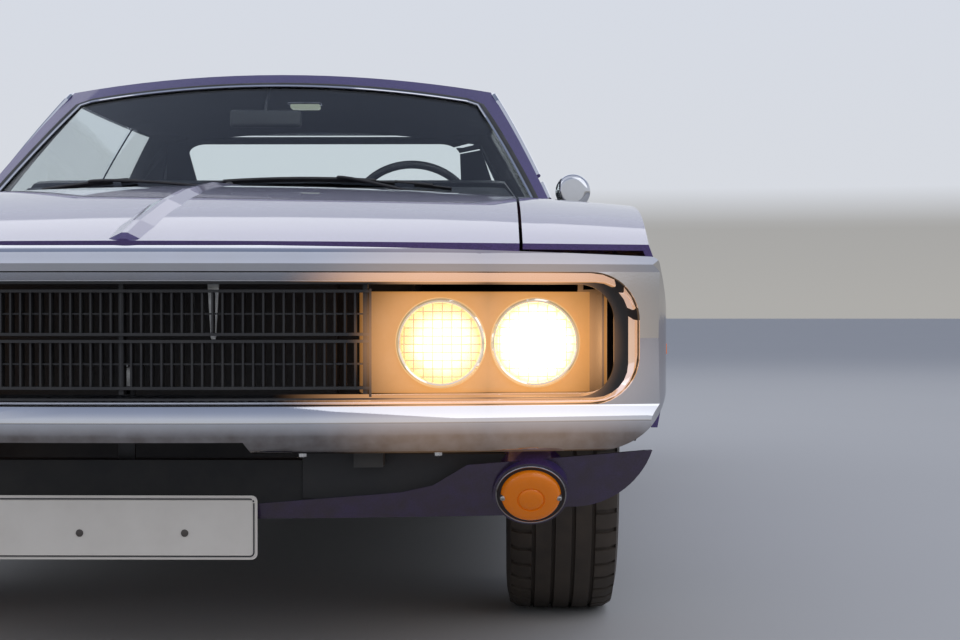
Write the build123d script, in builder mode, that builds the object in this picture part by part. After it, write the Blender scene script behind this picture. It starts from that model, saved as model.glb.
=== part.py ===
"""A two-door hardtop muscle car, built from its separate panels, glass, seats, running gear and wheels.

Millimetres, +Z up, the front towards -Y and the car's left side towards +X. The origin is on the ground,
at the middle of the overall length and width. Places along the car are distances behind the front
bumper's face, and at() turns one into Y. Left-hand pieces are modelled and mirrored to the right.
"""

import os
from math import atan2, cos, degrees, hypot, radians, sin, sqrt, tan

from build123d import *

# Whole car
overall_length = 5283
wheelbase = 2972
front_overhang = 955  # bumper face to front axle

# Wheels and tyres
tyre_radius = 335
tyre_width = 232
rim_radius = 178
rim_width = 184
rim_wall = 6
flange_height = 18
spoke_count = 5
half_track_front = 776
half_track_rear = 768
arch_radius_front = 376
arch_radius_rear = 368
drum_radius = 127
spindle_radius = 16
kingpin_inset = 30  # kingpin axis inboard of the wheel's centre plane

# Panels and gaps
panel_gap = 6
side_wall = 762  # outer face of the posts inside the doors
fit_gap = 0.3
running_gap = 0.1  # hubs on their spindles
sheet = 10  # fender or quarter skin with its inner flange
lid_thickness = 22
glass_thickness = 6
pillar_thickness = 34

# Places along the car, behind the front bumper's face
hood_front = 76
hood_rear = 1590
door_front = 1697
door_rear = 3043
roof_rear = 3400
lid_front = 4060
lid_rear = 5162
tail_place = 5172
tail_thickness = 26
rear_bumper_place = 5200

# Half-widths
hood_half_width = 680
lid_half_width = 637
cabin_half_width = 768  # inner face of the doors
door_hinge_out = 957  # hinge axis, just outside the widest skin

# Heights
ground_gap = 235
sill_top = 299
belt = 905
window_top = 1268

# Front end
nose_radius = 3737  # plan curve of bumper, grille and hood front
bumper_top = 766
bumper_crease = 735
bumper_bottom = 412
bumper_depth = 66
bumper_half_width = 938
bumper_end_top = 748  # the upper edge falls towards the ends
mouth_top = 721
mouth_bottom = 493
mouth_half_width = 888
mouth_corner = 84
grille_top = 700
grille_bottom = 505
grille_half_width = 846
grille_corner = 62
grid_half_width = 422
bar_pitch = 17.3
bar_width = 3.4
tiers = ((522, 563, 602), (614, 649, 688))  # low end, middle bar, high end of each row of bars
bay_middle = 636  # middle of each headlamp bay
bay_half_width = 202
lamp_height = 597
lamp_places = (541, 709)
lamp_radius = 73
lamp_depth = 150
lamp_pivot_depth = 200  # hinge of the headlamp doors, behind the bumper's local face
headlamp_door_front = 72
headlamp_door_thickness = 10

# Windshield and backlight
glass_radius = 2750
windshield_base = (1640, 955)
windshield_head = (2200, 1335)
backlight_base = (3915, 1000)
backlight_head = (3404, 1284)
tunnel_bend = (650, 1110)  # upright below this height, leaning inwards above
tunnel_high = (520, 1340)


def at(distance_behind_front):
    """Y of a place that many millimetres behind the front bumper's face."""
    return distance_behind_front - overall_length / 2


def swept_back(half_width):
    """How far the plan curve of the nose lies behind its middle at that half-width."""
    return nose_radius - sqrt(nose_radius**2 - half_width**2)


rear_axle_place = front_overhang + wheelbase
front_axle = at(front_overhang)
rear_axle = at(rear_axle_place)
kingpin = half_track_front - kingpin_inset
nose_axis = Axis((0, at(0) + nose_radius, 0), (0, 0, 1))

# Sections of the lower body: place, half-width and height of the widest line, half-width and height of
# the shoulder, height at the centreline, half-width and height of the bottom edge
body_stations = [
    (40, 926, 600, 908, 728, 765, 868, 300),
    (400, 950, 608, 918, 818, 846, 880, 285),
    (front_overhang, 962, 620, 928, 884, 926, 885, 250),
    (1650, 952, 630, 908, 902, 962, 885, ground_gap),
    (2400, 938, 632, 894, 908, 968, 885, ground_gap),
    (3100, 946, 640, 902, 928, 985, 885, ground_gap),
    (rear_axle_place, 972, 652, 926, 966, 1004, 890, 262),
    (4600, 962, 665, 908, 964, 996, 890, 330),
    (5230, 928, 685, 866, 930, 952, 872, 420),
]
# Sections of the greenhouse: place, half-width at its foot, half-width and height of the roof rail,
# height at the centreline
roof_stations = [
    (1600, 806, 618, 1238, 1288),
    (2200, 812, 616, 1292, 1338),
    (2800, 822, 614, 1302, 1351),
    (3400, 824, 606, 1276, 1322),
    (4000, 822, 672, 1130, 1146),
    (4600, 808, 770, 966, 978),
]
roof_foot = 880
shoulder_radius = 58
rail_radius = 62
# Outline of the side windows: place and height, from the A-pillar's foot round to the C-pillar's foot
side_window = [(1888, 870), (1888, belt), (2262, window_top), (3335, window_top), (3492, belt), (3492, 870)]


def body_section(station, inset):
    """Outline across the lower body, drawn in by inset all round."""
    place, waist_width, waist, top_width, shoulder, centre, sill_width, bottom = station
    low = (sill_width - inset, bottom + inset)
    wide = (waist_width - inset, waist)
    high = (top_width - inset, shoulder - inset)
    lower_bulge = ((low[0] + wide[0]) / 2 + 20, (low[1] + wide[1]) / 2)
    upper_bulge = ((wide[0] + high[0]) / 2 + 9, (wide[1] + high[1]) / 2)
    with BuildSketch(Plane.XZ.offset(-at(place))) as outline:
        with BuildLine():
            Line((-low[0], low[1]), low)
            ThreePointArc(low, lower_bulge, wide)
            ThreePointArc(wide, upper_bulge, high)
            ThreePointArc(high, (0, centre - inset), (-high[0], high[1]))
            ThreePointArc((-high[0], high[1]), (-upper_bulge[0], upper_bulge[1]), (-wide[0], wide[1]))
            ThreePointArc((-wide[0], wide[1]), (-lower_bulge[0], lower_bulge[1]), (-low[0], low[1]))
        make_face()
        fillet(outline.vertices().filter_by(lambda v: abs(v.Z - high[1]) < 0.01), shoulder_radius - inset)
    return outline.sketch


def roof_section(station, inset):
    """Outline across the greenhouse, from its foot up, drawn in by inset."""
    place, foot_width, rail_width, rail, centre = station
    foot = (foot_width - inset, roof_foot)
    edge = (rail_width - inset, rail - inset)
    bulge = ((foot[0] + edge[0]) / 2 + 12, (foot[1] + edge[1]) / 2)
    with BuildSketch(Plane.XZ.offset(-at(place))) as outline:
        with BuildLine():
            Line((-foot[0], foot[1]), foot)
            ThreePointArc(foot, bulge, edge)
            ThreePointArc(edge, (0, centre - inset), (-edge[0], edge[1]))
            ThreePointArc((-edge[0], edge[1]), (-bulge[0], bulge[1]), (-foot[0], foot[1]))
        make_face()
        radius = min(rail_radius, 0.4 * (rail - roof_foot))
        fillet(outline.vertices().filter_by(lambda v: abs(v.Z - edge[1]) < 0.01), radius - inset * 0.3)
    return outline.sketch


def lofted(stations, section, inset):
    """A solid through the sections of a table, all drawn in by inset."""
    sections = [section(station, inset) for station in stations]
    with BuildPart() as block:
        loft(sections)
    return block.part


def slab(x, place, z, mode=Mode.ADD):
    """A box between two values on each axis, with places measured behind the front."""
    with Locations(((x[0] + x[1]) / 2, at((place[0] + place[1]) / 2), (z[0] + z[1]) / 2)):
        Box(x[1] - x[0], place[1] - place[0], z[1] - z[0], mode=mode)


def tube_between(start, end, radius):
    """A round bar from one point to another."""
    run = Vector(*end) - Vector(*start)
    with Locations(Plane(origin=(Vector(*start) + Vector(*end)) / 2, z_dir=run)):
        Cylinder(radius, run.length)


body_outer = lofted(body_stations, body_section, 0)
body_inner = lofted(body_stations, body_section, sheet)
body_under_lids = lofted(body_stations, body_section, lid_thickness)
body_clear = lofted(body_stations, body_section, sheet + fit_gap)
under_closed_lids = lofted(body_stations, body_section, lid_thickness + fit_gap)
roof_outer = lofted(roof_stations, roof_section, 0)
roof_inner = lofted(roof_stations, roof_section, pillar_thickness)
roof_clear = lofted(roof_stations, roof_section, pillar_thickness + fit_gap)
glass_outer = lofted(roof_stations, roof_section, 8)
glass_inner = lofted(roof_stations, roof_section, 8 + glass_thickness)
slot_outer = lofted(roof_stations, roof_section, 8 - 2 * fit_gap)
slot_inner = lofted(roof_stations, roof_section, 8 + glass_thickness + 2 * fit_gap)

slope = atan2(windshield_head[1] - windshield_base[1], windshield_head[0] - windshield_base[0])
windshield_plane = Plane(
    origin=(0, at(windshield_base[0]), windshield_base[1]), x_dir=(1, 0, 0), z_dir=(0, cos(slope), sin(slope))
)


def behind_windshield(depth):
    """Everything behind the windshield's outer surface, from that depth inwards."""
    with BuildPart() as space:
        with BuildSketch(windshield_plane.offset(-900)):
            with Locations((0, glass_radius)):
                Circle(glass_radius - depth)
        extrude(amount=4600)
    return space.part


def ahead_of_nose_line(depth):
    """The plan area behind the nose's curve, from that depth inwards."""
    with BuildPart() as space:
        with BuildSketch(Plane.XY.offset(200)):
            with Locations((0, at(0) + nose_radius)):
                Circle(nose_radius - depth)
        extrude(amount=900)
    return space.part


def side_prism(points, x):
    """An outline given as places and heights, carried across from one X to another."""
    with BuildPart() as prism:
        with BuildSketch(Plane.YZ.offset(x[0])):
            with BuildLine():
                Polyline([(at(place), height) for place, height in points], close=True)
            make_face()
        extrude(amount=x[1] - x[0])
    return prism.part


behind_glass = behind_windshield(0)
behind_nose = ahead_of_nose_line(hood_front)
window_prism = side_prism(side_window, (480, 900))

# Hood
with BuildPart() as hood:
    add(body_outer)
    add(body_under_lids, mode=Mode.SUBTRACT)
    slab((-hood_half_width, hood_half_width), (0, hood_rear), (640, 1100), Mode.INTERSECT)
    add(behind_nose, mode=Mode.INTERSECT)

# The crease along the hood's middle: place, half-width, height of its foot inside the hood, height of its crest
ridge_stations = [(80, 34, 768, 778), (92, 44, 770, 789), (200, 50, 796, 816), (460, 50, 849, 869), (670, 46, 883, 903),
                  (1000, 40, 922, 940), (1400, 32, 947, 961), (1560, 26, 952, 962)]
with BuildPart() as ridge:
    for place, half_width, foot, crest in ridge_stations:
        with BuildSketch(Plane.XZ.offset(-at(place))):
            with BuildLine():
                Polyline((-half_width, foot), (half_width, foot), (5, crest), (-5, crest), close=True)
            make_face()
    loft(ruled=True)
with BuildPart() as hood_panel:
    add(hood.part)
    add(ridge.part)

# Trunk lid
with BuildPart() as trunk_lid:
    add(body_outer)
    add(body_under_lids, mode=Mode.SUBTRACT)
    slab((-lid_half_width, lid_half_width), (lid_front, lid_rear), (800, 1100), Mode.INTERSECT)

# Front fenders
with BuildPart() as fender_left:
    add(body_outer)
    add(body_inner, mode=Mode.SUBTRACT)
    slab((hood_half_width + panel_gap, 1000), (0, door_front - panel_gap), (sill_top + 1, 1000), Mode.INTERSECT)
    add(behind_nose, mode=Mode.INTERSECT)
    slab((600, 1000), (0, front_overhang), (200, bumper_bottom + 35), Mode.SUBTRACT)
    with Locations((800, front_axle, tyre_radius)):
        Cylinder(arch_radius_front, 500, rotation=(0, 90, 0), mode=Mode.SUBTRACT)
with BuildPart() as fender_right:
    mirror(fender_left.part, about=Plane.YZ)

# Doors, each as thick as the whole door, with a slot for the glass and a groove for the striker
striker = (850, 640)
with BuildPart() as glass_slot:
    add(slot_outer)
    add(slot_inner, mode=Mode.SUBTRACT)
    slab((700, 900), (1893, 3028), (roof_foot - 10, 950), Mode.INTERSECT)
with BuildPart() as door_left:
    add(body_outer)
    slab((cabin_half_width, 1000), (door_front, door_rear), (sill_top + panel_gap, belt), Mode.INTERSECT)
    with BuildSketch(Plane.XY.offset(200)):
        with BuildLine():
            Polyline(
                (cabin_half_width - 10, at(door_rear - 21)), (1000, at(door_rear + 6)), (1000, at(door_rear + 80)),
                (cabin_half_width - 10, at(door_rear + 80)), close=True,
            )
        make_face()
    extrude(amount=900, mode=Mode.SUBTRACT)
    slab((700, 822), (door_front - 10, 1893), (860, 1000), Mode.SUBTRACT)
    add(glass_slot.part, mode=Mode.SUBTRACT)
    slab((cabin_half_width - 10, striker[0] + 8.5 + fit_gap), (door_rear - 30, door_rear + 10),
         (striker[1] - 8.5 - fit_gap, striker[1] + 8.5 + fit_gap), Mode.SUBTRACT)
with BuildPart() as door_right:
    mirror(door_left.part, about=Plane.YZ)

# Door glass and quarter glass
with BuildPart() as door_glass_left:
    add(glass_outer)
    add(glass_inner, mode=Mode.SUBTRACT)
    add(side_prism([(1898, 882), (1898, belt + 4), (2264, window_top - 6), (3028, window_top - 6), (3022, 882)],
                   (500, 900)), mode=Mode.INTERSECT)
with BuildPart() as door_glass_right:
    mirror(door_glass_left.part, about=Plane.YZ)
with BuildPart() as quarter_glass_left:
    add(glass_outer)
    add(glass_inner, mode=Mode.SUBTRACT)
    add(side_prism([(3049, belt + fit_gap), (3049, window_top - fit_gap), (3334, window_top - fit_gap),
                    (3491, belt + fit_gap)], (500, 900)), mode=Mode.INTERSECT)
with BuildPart() as quarter_glass_right:
    mirror(quarter_glass_left.part, about=Plane.YZ)

# Roof with its A-pillars
with BuildPart() as roof:
    add(roof_outer)
    add(roof_inner, mode=Mode.SUBTRACT)
    add(behind_glass, mode=Mode.INTERSECT)
    slab((-900, 900), (1500, roof_rear), (roof_foot, 1500), Mode.INTERSECT)
    add(window_prism, mode=Mode.SUBTRACT)
    add(window_prism.mirror(Plane.YZ), mode=Mode.SUBTRACT)
    slab((-900, 900), (1888, roof_rear), (roof_foot - 1, belt), Mode.SUBTRACT)
    slab((-900, 900), (3300, roof_rear), (roof_foot - 1, belt + 20), Mode.SUBTRACT)

# Windshield and backlight
with BuildPart() as windshield:
    add(roof_clear)
    with BuildSketch(windshield_plane.offset(-900)):
        with Locations((0, glass_radius)):
            Circle(glass_radius - 4)
            Circle(glass_radius - 4 - glass_thickness, mode=Mode.SUBTRACT)
    extrude(amount=2200, mode=Mode.INTERSECT)
    add(body_outer, mode=Mode.SUBTRACT)
tunnel_slant = (tunnel_bend[0] - tunnel_high[0]) / (tunnel_high[1] - tunnel_bend[1])
tunnel_top = (tunnel_bend[0] - tunnel_slant * (1400 - tunnel_bend[1]), 1400)


with BuildPart() as backlight:
    rake = atan2(backlight_head[1] - backlight_base[1], backlight_base[0] - backlight_head[0])
    across = (0, sin(rake) * glass_thickness, cos(rake) * glass_thickness)
    with BuildSketch(Plane.XZ.offset(-at(3300))):
        with BuildLine():
            wall = [(tunnel_bend[0] - fit_gap, 940), (tunnel_bend[0] - fit_gap, tunnel_bend[1]),
                    (tunnel_top[0] - fit_gap, tunnel_top[1])]
            Polyline(*wall, *[(-x, height) for x, height in reversed(wall)], close=True)
        make_face()
    extrude(amount=-800)
    add(side_prism([backlight_base, backlight_head, (backlight_head[0], backlight_head[1] - glass_thickness * 1.1),
                    (backlight_base[0] - 11, backlight_base[1])], (-700, 700)), mode=Mode.INTERSECT)

# Quarter panels with sill-to-belt inner walls, rear pillars and arches
with BuildPart() as quarter_left:
    add(body_outer)
    add(body_inner, mode=Mode.SUBTRACT)
    slab((lid_half_width + panel_gap, 1000), (door_rear + panel_gap, tail_place), (sill_top + 1, 1100), Mode.INTERSECT)
    slab((600, 868), (3300, tail_place + 10), (200, 800), Mode.SUBTRACT)
    slab((600, cabin_half_width), (3000, roof_rear + 90), (200, 1100), Mode.SUBTRACT)
with BuildPart() as quarter_wall:
    add(body_outer)
    slab((cabin_half_width, 1000), (door_rear + panel_gap, 3500), (sill_top + 1, belt), Mode.INTERSECT)
with BuildPart() as rear_pillar:
    add(roof_outer)
    with BuildSketch(Plane.XZ.offset(-at(roof_rear))):
        with BuildLine():
            Polyline((tunnel_bend[0], roof_foot), (1000, roof_foot), (1000, tunnel_top[1]), tunnel_top, tunnel_bend,
                     close=True)
        make_face()
    extrude(amount=-1400, mode=Mode.INTERSECT)
with BuildPart() as quarter_panel_left:
    add(quarter_left.part)
    add(quarter_wall.part)
    add(rear_pillar.part)
    slab((600, 1000), (3000, 3480), (belt, 940), Mode.SUBTRACT)
    add(window_prism, mode=Mode.SUBTRACT)
    tube_between((striker[0], at(door_rear - 16), striker[1]), (striker[0], at(door_rear + 20), striker[1]), 8.5)
    with Locations((760, rear_axle, tyre_radius)):
        Cylinder(arch_radius_rear, 560, rotation=(0, 90, 0), mode=Mode.SUBTRACT)
with BuildPart() as quarter_panel_right:
    mirror(quarter_panel_left.part, about=Plane.YZ)

# Cowl with the pillar feet, and hinge posts whose hinges reach the doors' front faces
hinge_heights = (440, 790)
with BuildPart() as cowl:
    add(body_outer)
    add(body_under_lids, mode=Mode.SUBTRACT)
    slab((-hood_half_width, hood_half_width), (hood_rear + panel_gap, 2000), (700, 1100), Mode.INTERSECT)
    add(behind_windshield(12), mode=Mode.SUBTRACT)
with BuildPart() as cowl_sides:
    add(body_outer)
    slab((hood_half_width - 30, side_wall), (door_front - 1, 1870), (840, 1100), Mode.INTERSECT)
    add(behind_windshield(12), mode=Mode.SUBTRACT)
    slab((side_wall - 30, 812), (1703, 1885), (864, roof_foot))
    slab((side_wall - 40, side_wall), (1640, 1700), (305 + fit_gap, roof_foot))
    for height in hinge_heights:
        slab((side_wall - 1, 895), (1655, door_front - fit_gap), (height - 30, height + 30))
    add(roof.part, mode=Mode.SUBTRACT)
with BuildPart() as cowl_panel:
    add(cowl.part)
    add(cowl_sides.part)
    mirror(cowl_sides.part, about=Plane.YZ)

# Sills under the doors
with BuildPart() as sill_left:
    add(body_outer)
    slab((side_wall + fit_gap, 1000), (1340, 3550), (200, sill_top), Mode.INTERSECT)
with BuildPart() as sill_right:
    mirror(sill_left.part, about=Plane.YZ)

# Rear shelf and deck filler
deck_half_width = lid_half_width + panel_gap
with BuildPart() as deck:
    add(body_outer)
    add(body_under_lids, mode=Mode.SUBTRACT)
    slab((-deck_half_width, deck_half_width), (backlight_base[0] + 1, lid_front - panel_gap), (900, 1100), Mode.INTERSECT)
with BuildPart() as lid_hinges:
    for side in (-1, 1):
        slab((side * 520 - 20, side * 520 + 20), (lid_front - 24, lid_front + 50), (900, 1100))
    add(under_closed_lids, mode=Mode.INTERSECT)
with BuildPart() as rear_shelf:
    add(deck.part)
    add(lid_hinges.part)
    slab((-600, 600), (backlight_base[0] + 1, backlight_base[0] + 13), (888, 985))
    slab((-600, 600), (3500, backlight_base[0] + 13), (888, 900))

# Tail panel with its two lamp recesses
tail_lamp_span = (120, 800)
tail_lamp_heights = (700, 820)
with BuildPart() as tail_panel:
    add(body_outer)
    slab((-1000, 1000), (tail_place + fit_gap, tail_place + tail_thickness), (200, 1100), Mode.INTERSECT)
    with BuildSketch(Plane.XZ.offset(-at(tail_place + tail_thickness))):
        for side in (-1, 1):
            with Locations((side * sum(tail_lamp_span) / 2, sum(tail_lamp_heights) / 2)):
                RectangleRounded(tail_lamp_span[1] - tail_lamp_span[0], tail_lamp_heights[1] - tail_lamp_heights[0], 40)
    extrude(amount=18, mode=Mode.SUBTRACT)
with BuildPart() as tail_lamps:
    with BuildSketch(Plane.XZ.offset(-at(tail_place + tail_thickness - 18 + fit_gap))):
        for side in (-1, 1):
            with Locations((side * sum(tail_lamp_span) / 2, sum(tail_lamp_heights) / 2)):
                RectangleRounded(
                    tail_lamp_span[1] - tail_lamp_span[0] - 2 * fit_gap,
                    tail_lamp_heights[1] - tail_lamp_heights[0] - 2 * fit_gap, 40,
                )
    extrude(amount=-24)
    fillet(tail_lamps.edges().group_by(Axis.Y)[-1], 5)


def nose_ring(profile):
    """A profile, as distances behind the bumper's face and heights, turned along the nose's plan curve."""
    with BuildPart() as ring:
        with BuildSketch(Plane.YZ):
            with BuildLine():
                Polyline([(at(depth), height) for depth, height in profile], close=True)
            make_face()
        revolve(axis=nose_axis, revolution_arc=32)
        mirror(about=Plane.YZ)
    return ring.part


def nose_outline(half_width, low, high, corner):
    """A rounded outline seen from the front, carried back through the nose."""
    with BuildPart() as prism:
        with BuildSketch(Plane.XZ.offset(-at(-60))):
            with Locations((0, (low + high) / 2)):
                RectangleRounded(2 * half_width, high - low, corner)
        extrude(amount=-600)
    return prism.part


# Front bumper: one loop round the whole grille, its ends rounded off in plan
with BuildPart() as bumper_ring:
    with BuildSketch(Plane.YZ):
        with BuildLine():
            ThreePointArc((at(bumper_depth), bumper_top), (at(24), bumper_top - 9), (at(1), bumper_crease - 1))
            Polyline((at(1), bumper_crease - 1), (at(9), mouth_top), (at(7), (mouth_top + mouth_bottom) / 2),
                     (at(9), mouth_bottom))
            ThreePointArc((at(9), mouth_bottom), (at(0), 460), (at(16), bumper_bottom + 12))
            ThreePointArc((at(16), bumper_bottom + 12), (at(24), bumper_bottom + 4), (at(36), bumper_bottom))
            Polyline((at(36), bumper_bottom), (at(bumper_depth), bumper_bottom), (at(bumper_depth), bumper_top))
        make_face()
    revolve(axis=nose_axis, revolution_arc=32)
    mirror(about=Plane.YZ)
with BuildPart() as bumper_face:
    with BuildSketch(Plane.XZ.offset(-at(-60))):
        with BuildLine():
            for side in (1, -1):
                Line((0, bumper_bottom), (side * 826, bumper_bottom))
                ThreePointArc((side * 826, bumper_bottom), (side * 905, 452), (side * bumper_half_width, 560))
                ThreePointArc((side * bumper_half_width, 560), (side * (bumper_half_width - 1), 660), (side * 924, 732))
                ThreePointArc((side * 924, 732), (side * 919, 743), (side * 906, bumper_end_top))
            ThreePointArc((-906, bumper_end_top), (0, bumper_top + 1), (906, bumper_end_top))
        make_face()
    extrude(amount=-600)
with BuildPart() as bumper_plan:
    with BuildSketch(Plane.XY.offset(300)):
        with BuildLine():
            for side in (1, -1):
                start = (side * 880, at(swept_back(880) - 2))
                end = (side * bumper_half_width, at(swept_back(bumper_half_width) + 46))
                Line((0, at(-60)), (side * 880, at(-60)))
                Line((side * 880, at(-60)), start)
                ThreePointArc(start, (side * 924, at(swept_back(924) + 10)), end)
                Line(end, (side * bumper_half_width, at(400)))
            Line((-bumper_half_width, at(400)), (bumper_half_width, at(400)))
        make_face()
    extrude(amount=600)
with BuildPart() as front_bumper:
    add(bumper_ring.part)
    add(bumper_face.part, mode=Mode.INTERSECT)
    add(bumper_plan.part, mode=Mode.INTERSECT)
    add(nose_outline(mouth_half_width, mouth_bottom, mouth_top, mouth_corner), mode=Mode.SUBTRACT)
    with BuildSketch(Plane.XZ.offset(-at(-60))):
        with BuildLine():
            Polyline((-235, 400), (-215, 433), (215, 433), (235, 400), close=True)
        make_face()
    extrude(amount=-300, mode=Mode.SUBTRACT)

# Grille: bezel, rows of thin bars, and an open bay with a lamp board at each end
bay_plane = Plane(
    origin=(bay_middle, at(swept_back(bay_middle)), 0),
    x_dir=(sqrt(nose_radius**2 - bay_middle**2), bay_middle, 0), z_dir=(0, 0, 1),
)


def bay_box(along, depth, z, mode=Mode.ADD):
    """A box in the headlamp bay's own frame, which follows the nose's curve."""
    with Locations(bay_plane.offset((z[0] + z[1]) / 2)):
        with Locations(((along[0] + along[1]) / 2, (depth[0] + depth[1]) / 2)):
            Box(along[1] - along[0], depth[1] - depth[0], z[1] - z[0], mode=mode)


with BuildPart() as bezel:
    add(nose_ring([(48, mouth_bottom), (48, mouth_top), (bumper_depth - 1, mouth_top), (bumper_depth - 1, mouth_bottom)]))
    add(nose_outline(mouth_half_width - fit_gap, mouth_bottom + fit_gap, mouth_top - fit_gap, mouth_corner - 1),
        mode=Mode.INTERSECT)
    add(nose_outline(grille_half_width, grille_bottom, grille_top, grille_corner), mode=Mode.SUBTRACT)
bar_count = 2 * int(grid_half_width / bar_pitch) + 1
bar_places = [(i - (bar_count - 1) / 2) * bar_pitch for i in range(bar_count)]
with BuildPart() as grid:
    for low, middle, high in tiers:
        for height, thick, front in ((low, 5, 58), (middle, 3, 68), (high, 5, 58)):
            add(nose_ring([
                (front, height - thick / 2), (front, height + thick / 2), (84, height + thick / 2), (84, height - thick / 2)
            ]))
    slab((-grid_half_width, grid_half_width), (0, 300), (0, 1000), Mode.INTERSECT)
    for low, _, high in tiers:
        with Locations([(x, at(swept_back(x) + 73), (low + high) / 2) for x in bar_places]):
            Box(bar_width, 22, high - low)
    for place in (bar_places[0], bar_places[bar_count // 2], bar_places[-1]):
        slab((place - 4, place + 4), (swept_back(place) + 64, swept_back(place) + 90), (mouth_bottom + 4, mouth_top - 4))
with BuildPart() as lamp_bay:
    for end in (-1, 1):
        inner, outer = bay_half_width, bay_half_width + 4
        bay_box((min(end * inner, end * outer), max(end * inner, end * outer)), (62, 262), (grille_bottom - 8, 692))
    bay_box((-bay_half_width - 4, bay_half_width + 4), (66, 196), (grille_bottom - 8, grille_bottom - 4))
    bay_box((14 - bay_half_width, bay_half_width - 14), (192, 196), (grille_bottom - 8, 688))
    for place in lamp_places:
        with Locations((place, at(swept_back(place) + lamp_depth + 40), lamp_height)):
            Cylinder(lamp_radius - 8, 140, rotation=(90, 0, 0), mode=Mode.SUBTRACT)
    bay_box((-bay_half_width - 4, bay_half_width + 4), (192, 196), (grille_bottom - 8, grille_bottom + 4))
    for end in (-1, 1):
        with Locations(bay_plane.offset(lamp_height)):
            with Locations((end * (bay_half_width - 4), lamp_pivot_depth, 0)):
                Cylinder(6, 8, rotation=(0, 90, 0))
with BuildPart() as grille:
    add(bezel.part)
    add(grid.part)
    add(lamp_bay.part)
    mirror(lamp_bay.part, about=Plane.YZ)

# Headlamps, each a sealed beam in a bezel on the lamp board
with BuildPart() as headlamps:
    for place in lamp_places:
        front = at(swept_back(place) + lamp_depth)
        with BuildSketch(Plane(origin=(place, front, lamp_height), x_dir=(0, 1, 0), z_dir=(1, 0, 0))):
            with BuildLine():
                ThreePointArc((0, 0), (2.5, lamp_radius / 2), (10, lamp_radius))
                Polyline((10, lamp_radius), (6, lamp_radius + 1), (6, lamp_radius + 8), (20, lamp_radius + 8),
                         (30, lamp_radius - 8 - fit_gap), (52, lamp_radius - 8 - fit_gap), (62, 30),
                         (62, 0), (0, 0))
            make_face()
        revolve(axis=Axis((place, front, lamp_height), (0, 1, 0)))
    mirror(about=Plane.YZ)


# Headlamp doors, swung up and back over their lamps as in the photograph's open state
lamp_door_open = 90
lamp_door_half_width = bay_half_width - panel_gap
lamp_pivot_axis = Axis(bay_plane.offset(lamp_height).from_local_coords((0, lamp_pivot_depth, 0)), bay_plane.x_dir)
with BuildPart() as lamp_door_closed:
    front, back = headlamp_door_front, headlamp_door_front + headlamp_door_thickness
    bay_box((-lamp_door_half_width, lamp_door_half_width), (front, back), (grille_bottom + 7, grille_top - 9))
    for i in range(-11, 12):
        bay_box((i * bar_pitch - bar_width / 2, i * bar_pitch + bar_width / 2), (front - 4, front),
                (grille_bottom + 14, grille_top - 14))
    for end in (-1, 1):
        arm = end * (lamp_door_half_width - 2)
        bay_box((arm - 2, arm + 2), (back, lamp_pivot_depth + 12), (lamp_height - 14, lamp_height + 14))
        with Locations(bay_plane.offset(lamp_height)):
            with Locations((arm, lamp_pivot_depth, 0)):
                Cylinder(6 + fit_gap, 30, rotation=(0, 90, 0), mode=Mode.SUBTRACT)
with BuildPart() as headlamp_door_left:
    add(lamp_door_closed.part.rotate(lamp_pivot_axis, -lamp_door_open))
with BuildPart() as headlamp_door_right:
    mirror(headlamp_door_left.part, about=Plane.YZ)

# Valance below the bumper, leaning back to its lower edge, with a pod for each turn signal
signal_place = (700, 342)
signal_radius = 59.5
signal_tilt = 31
pod_radius = 66


def on_valance(height):
    """How far the valance's outer skin lies behind the bumper's face at that height."""
    return 34 + (bumper_bottom - height) * tan(radians(signal_tilt))


plate_hole_spacing = 178
plate_hole_radius = 3.5
plate_height = 284
plate_tab_place = on_valance(300) + 4
signal_proud = 14
signal_depth = swept_back(signal_place[0]) + on_valance(signal_place[1])
signal_plane = Plane(
    origin=(signal_place[0], at(signal_depth), signal_place[1]),
    x_dir=(1, 0, 0), z_dir=(0, -cos(radians(signal_tilt)), -sin(radians(signal_tilt))),
).offset(signal_proud)
with BuildPart() as valance:
    add(nose_ring([
        (on_valance(450), 450), (on_valance(286), 286), (on_valance(286) + 12, 286), (on_valance(450) + 12, 450)
    ]))
    with BuildSketch(Plane.XZ.offset(-at(-60))):
        with BuildLine():
            Polyline((0, 322), (231, 322), (475, 340), (530, 352), (590, 389), (913, 411))
            ThreePointArc((913, 411), (880, 352), (767, 308))
            Polyline((767, 308), (650, 294), (0, 294), (0, 322))
        make_face()
    extrude(amount=-500, mode=Mode.INTERSECT)
    with Locations(signal_plane.offset(-29)):
        Cylinder(pod_radius, 58)
        Cylinder(pod_radius - 5, 60, mode=Mode.SUBTRACT)
    with Locations(signal_plane.offset(-40)):
        Cylinder(pod_radius, 8)
    slab((plate_hole_spacing / 2 - 12, plate_hole_spacing / 2 + 12), (plate_tab_place, plate_tab_place + 10), (250, 318))
    with Locations((plate_hole_spacing / 2, at(plate_tab_place + 5), plate_height)):
        Cylinder(plate_hole_radius, 40, rotation=(90, 0, 0), mode=Mode.SUBTRACT)
    slab((-10, 1000), (0, 400), (bumper_bottom - fit_gap, 500), Mode.SUBTRACT)
with BuildPart() as front_valance:
    add(valance.part)
    mirror(valance.part, about=Plane.YZ)
with BuildPart() as turn_signals:
    with Locations(signal_plane.offset(-15)):
        Cylinder(pod_radius - 5 - fit_gap, 30)
    fillet(turn_signals.edges().filter_by(GeomType.CIRCLE).sort_by(Axis.Y)[0], 6)
    mirror(about=Plane.YZ)

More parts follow.
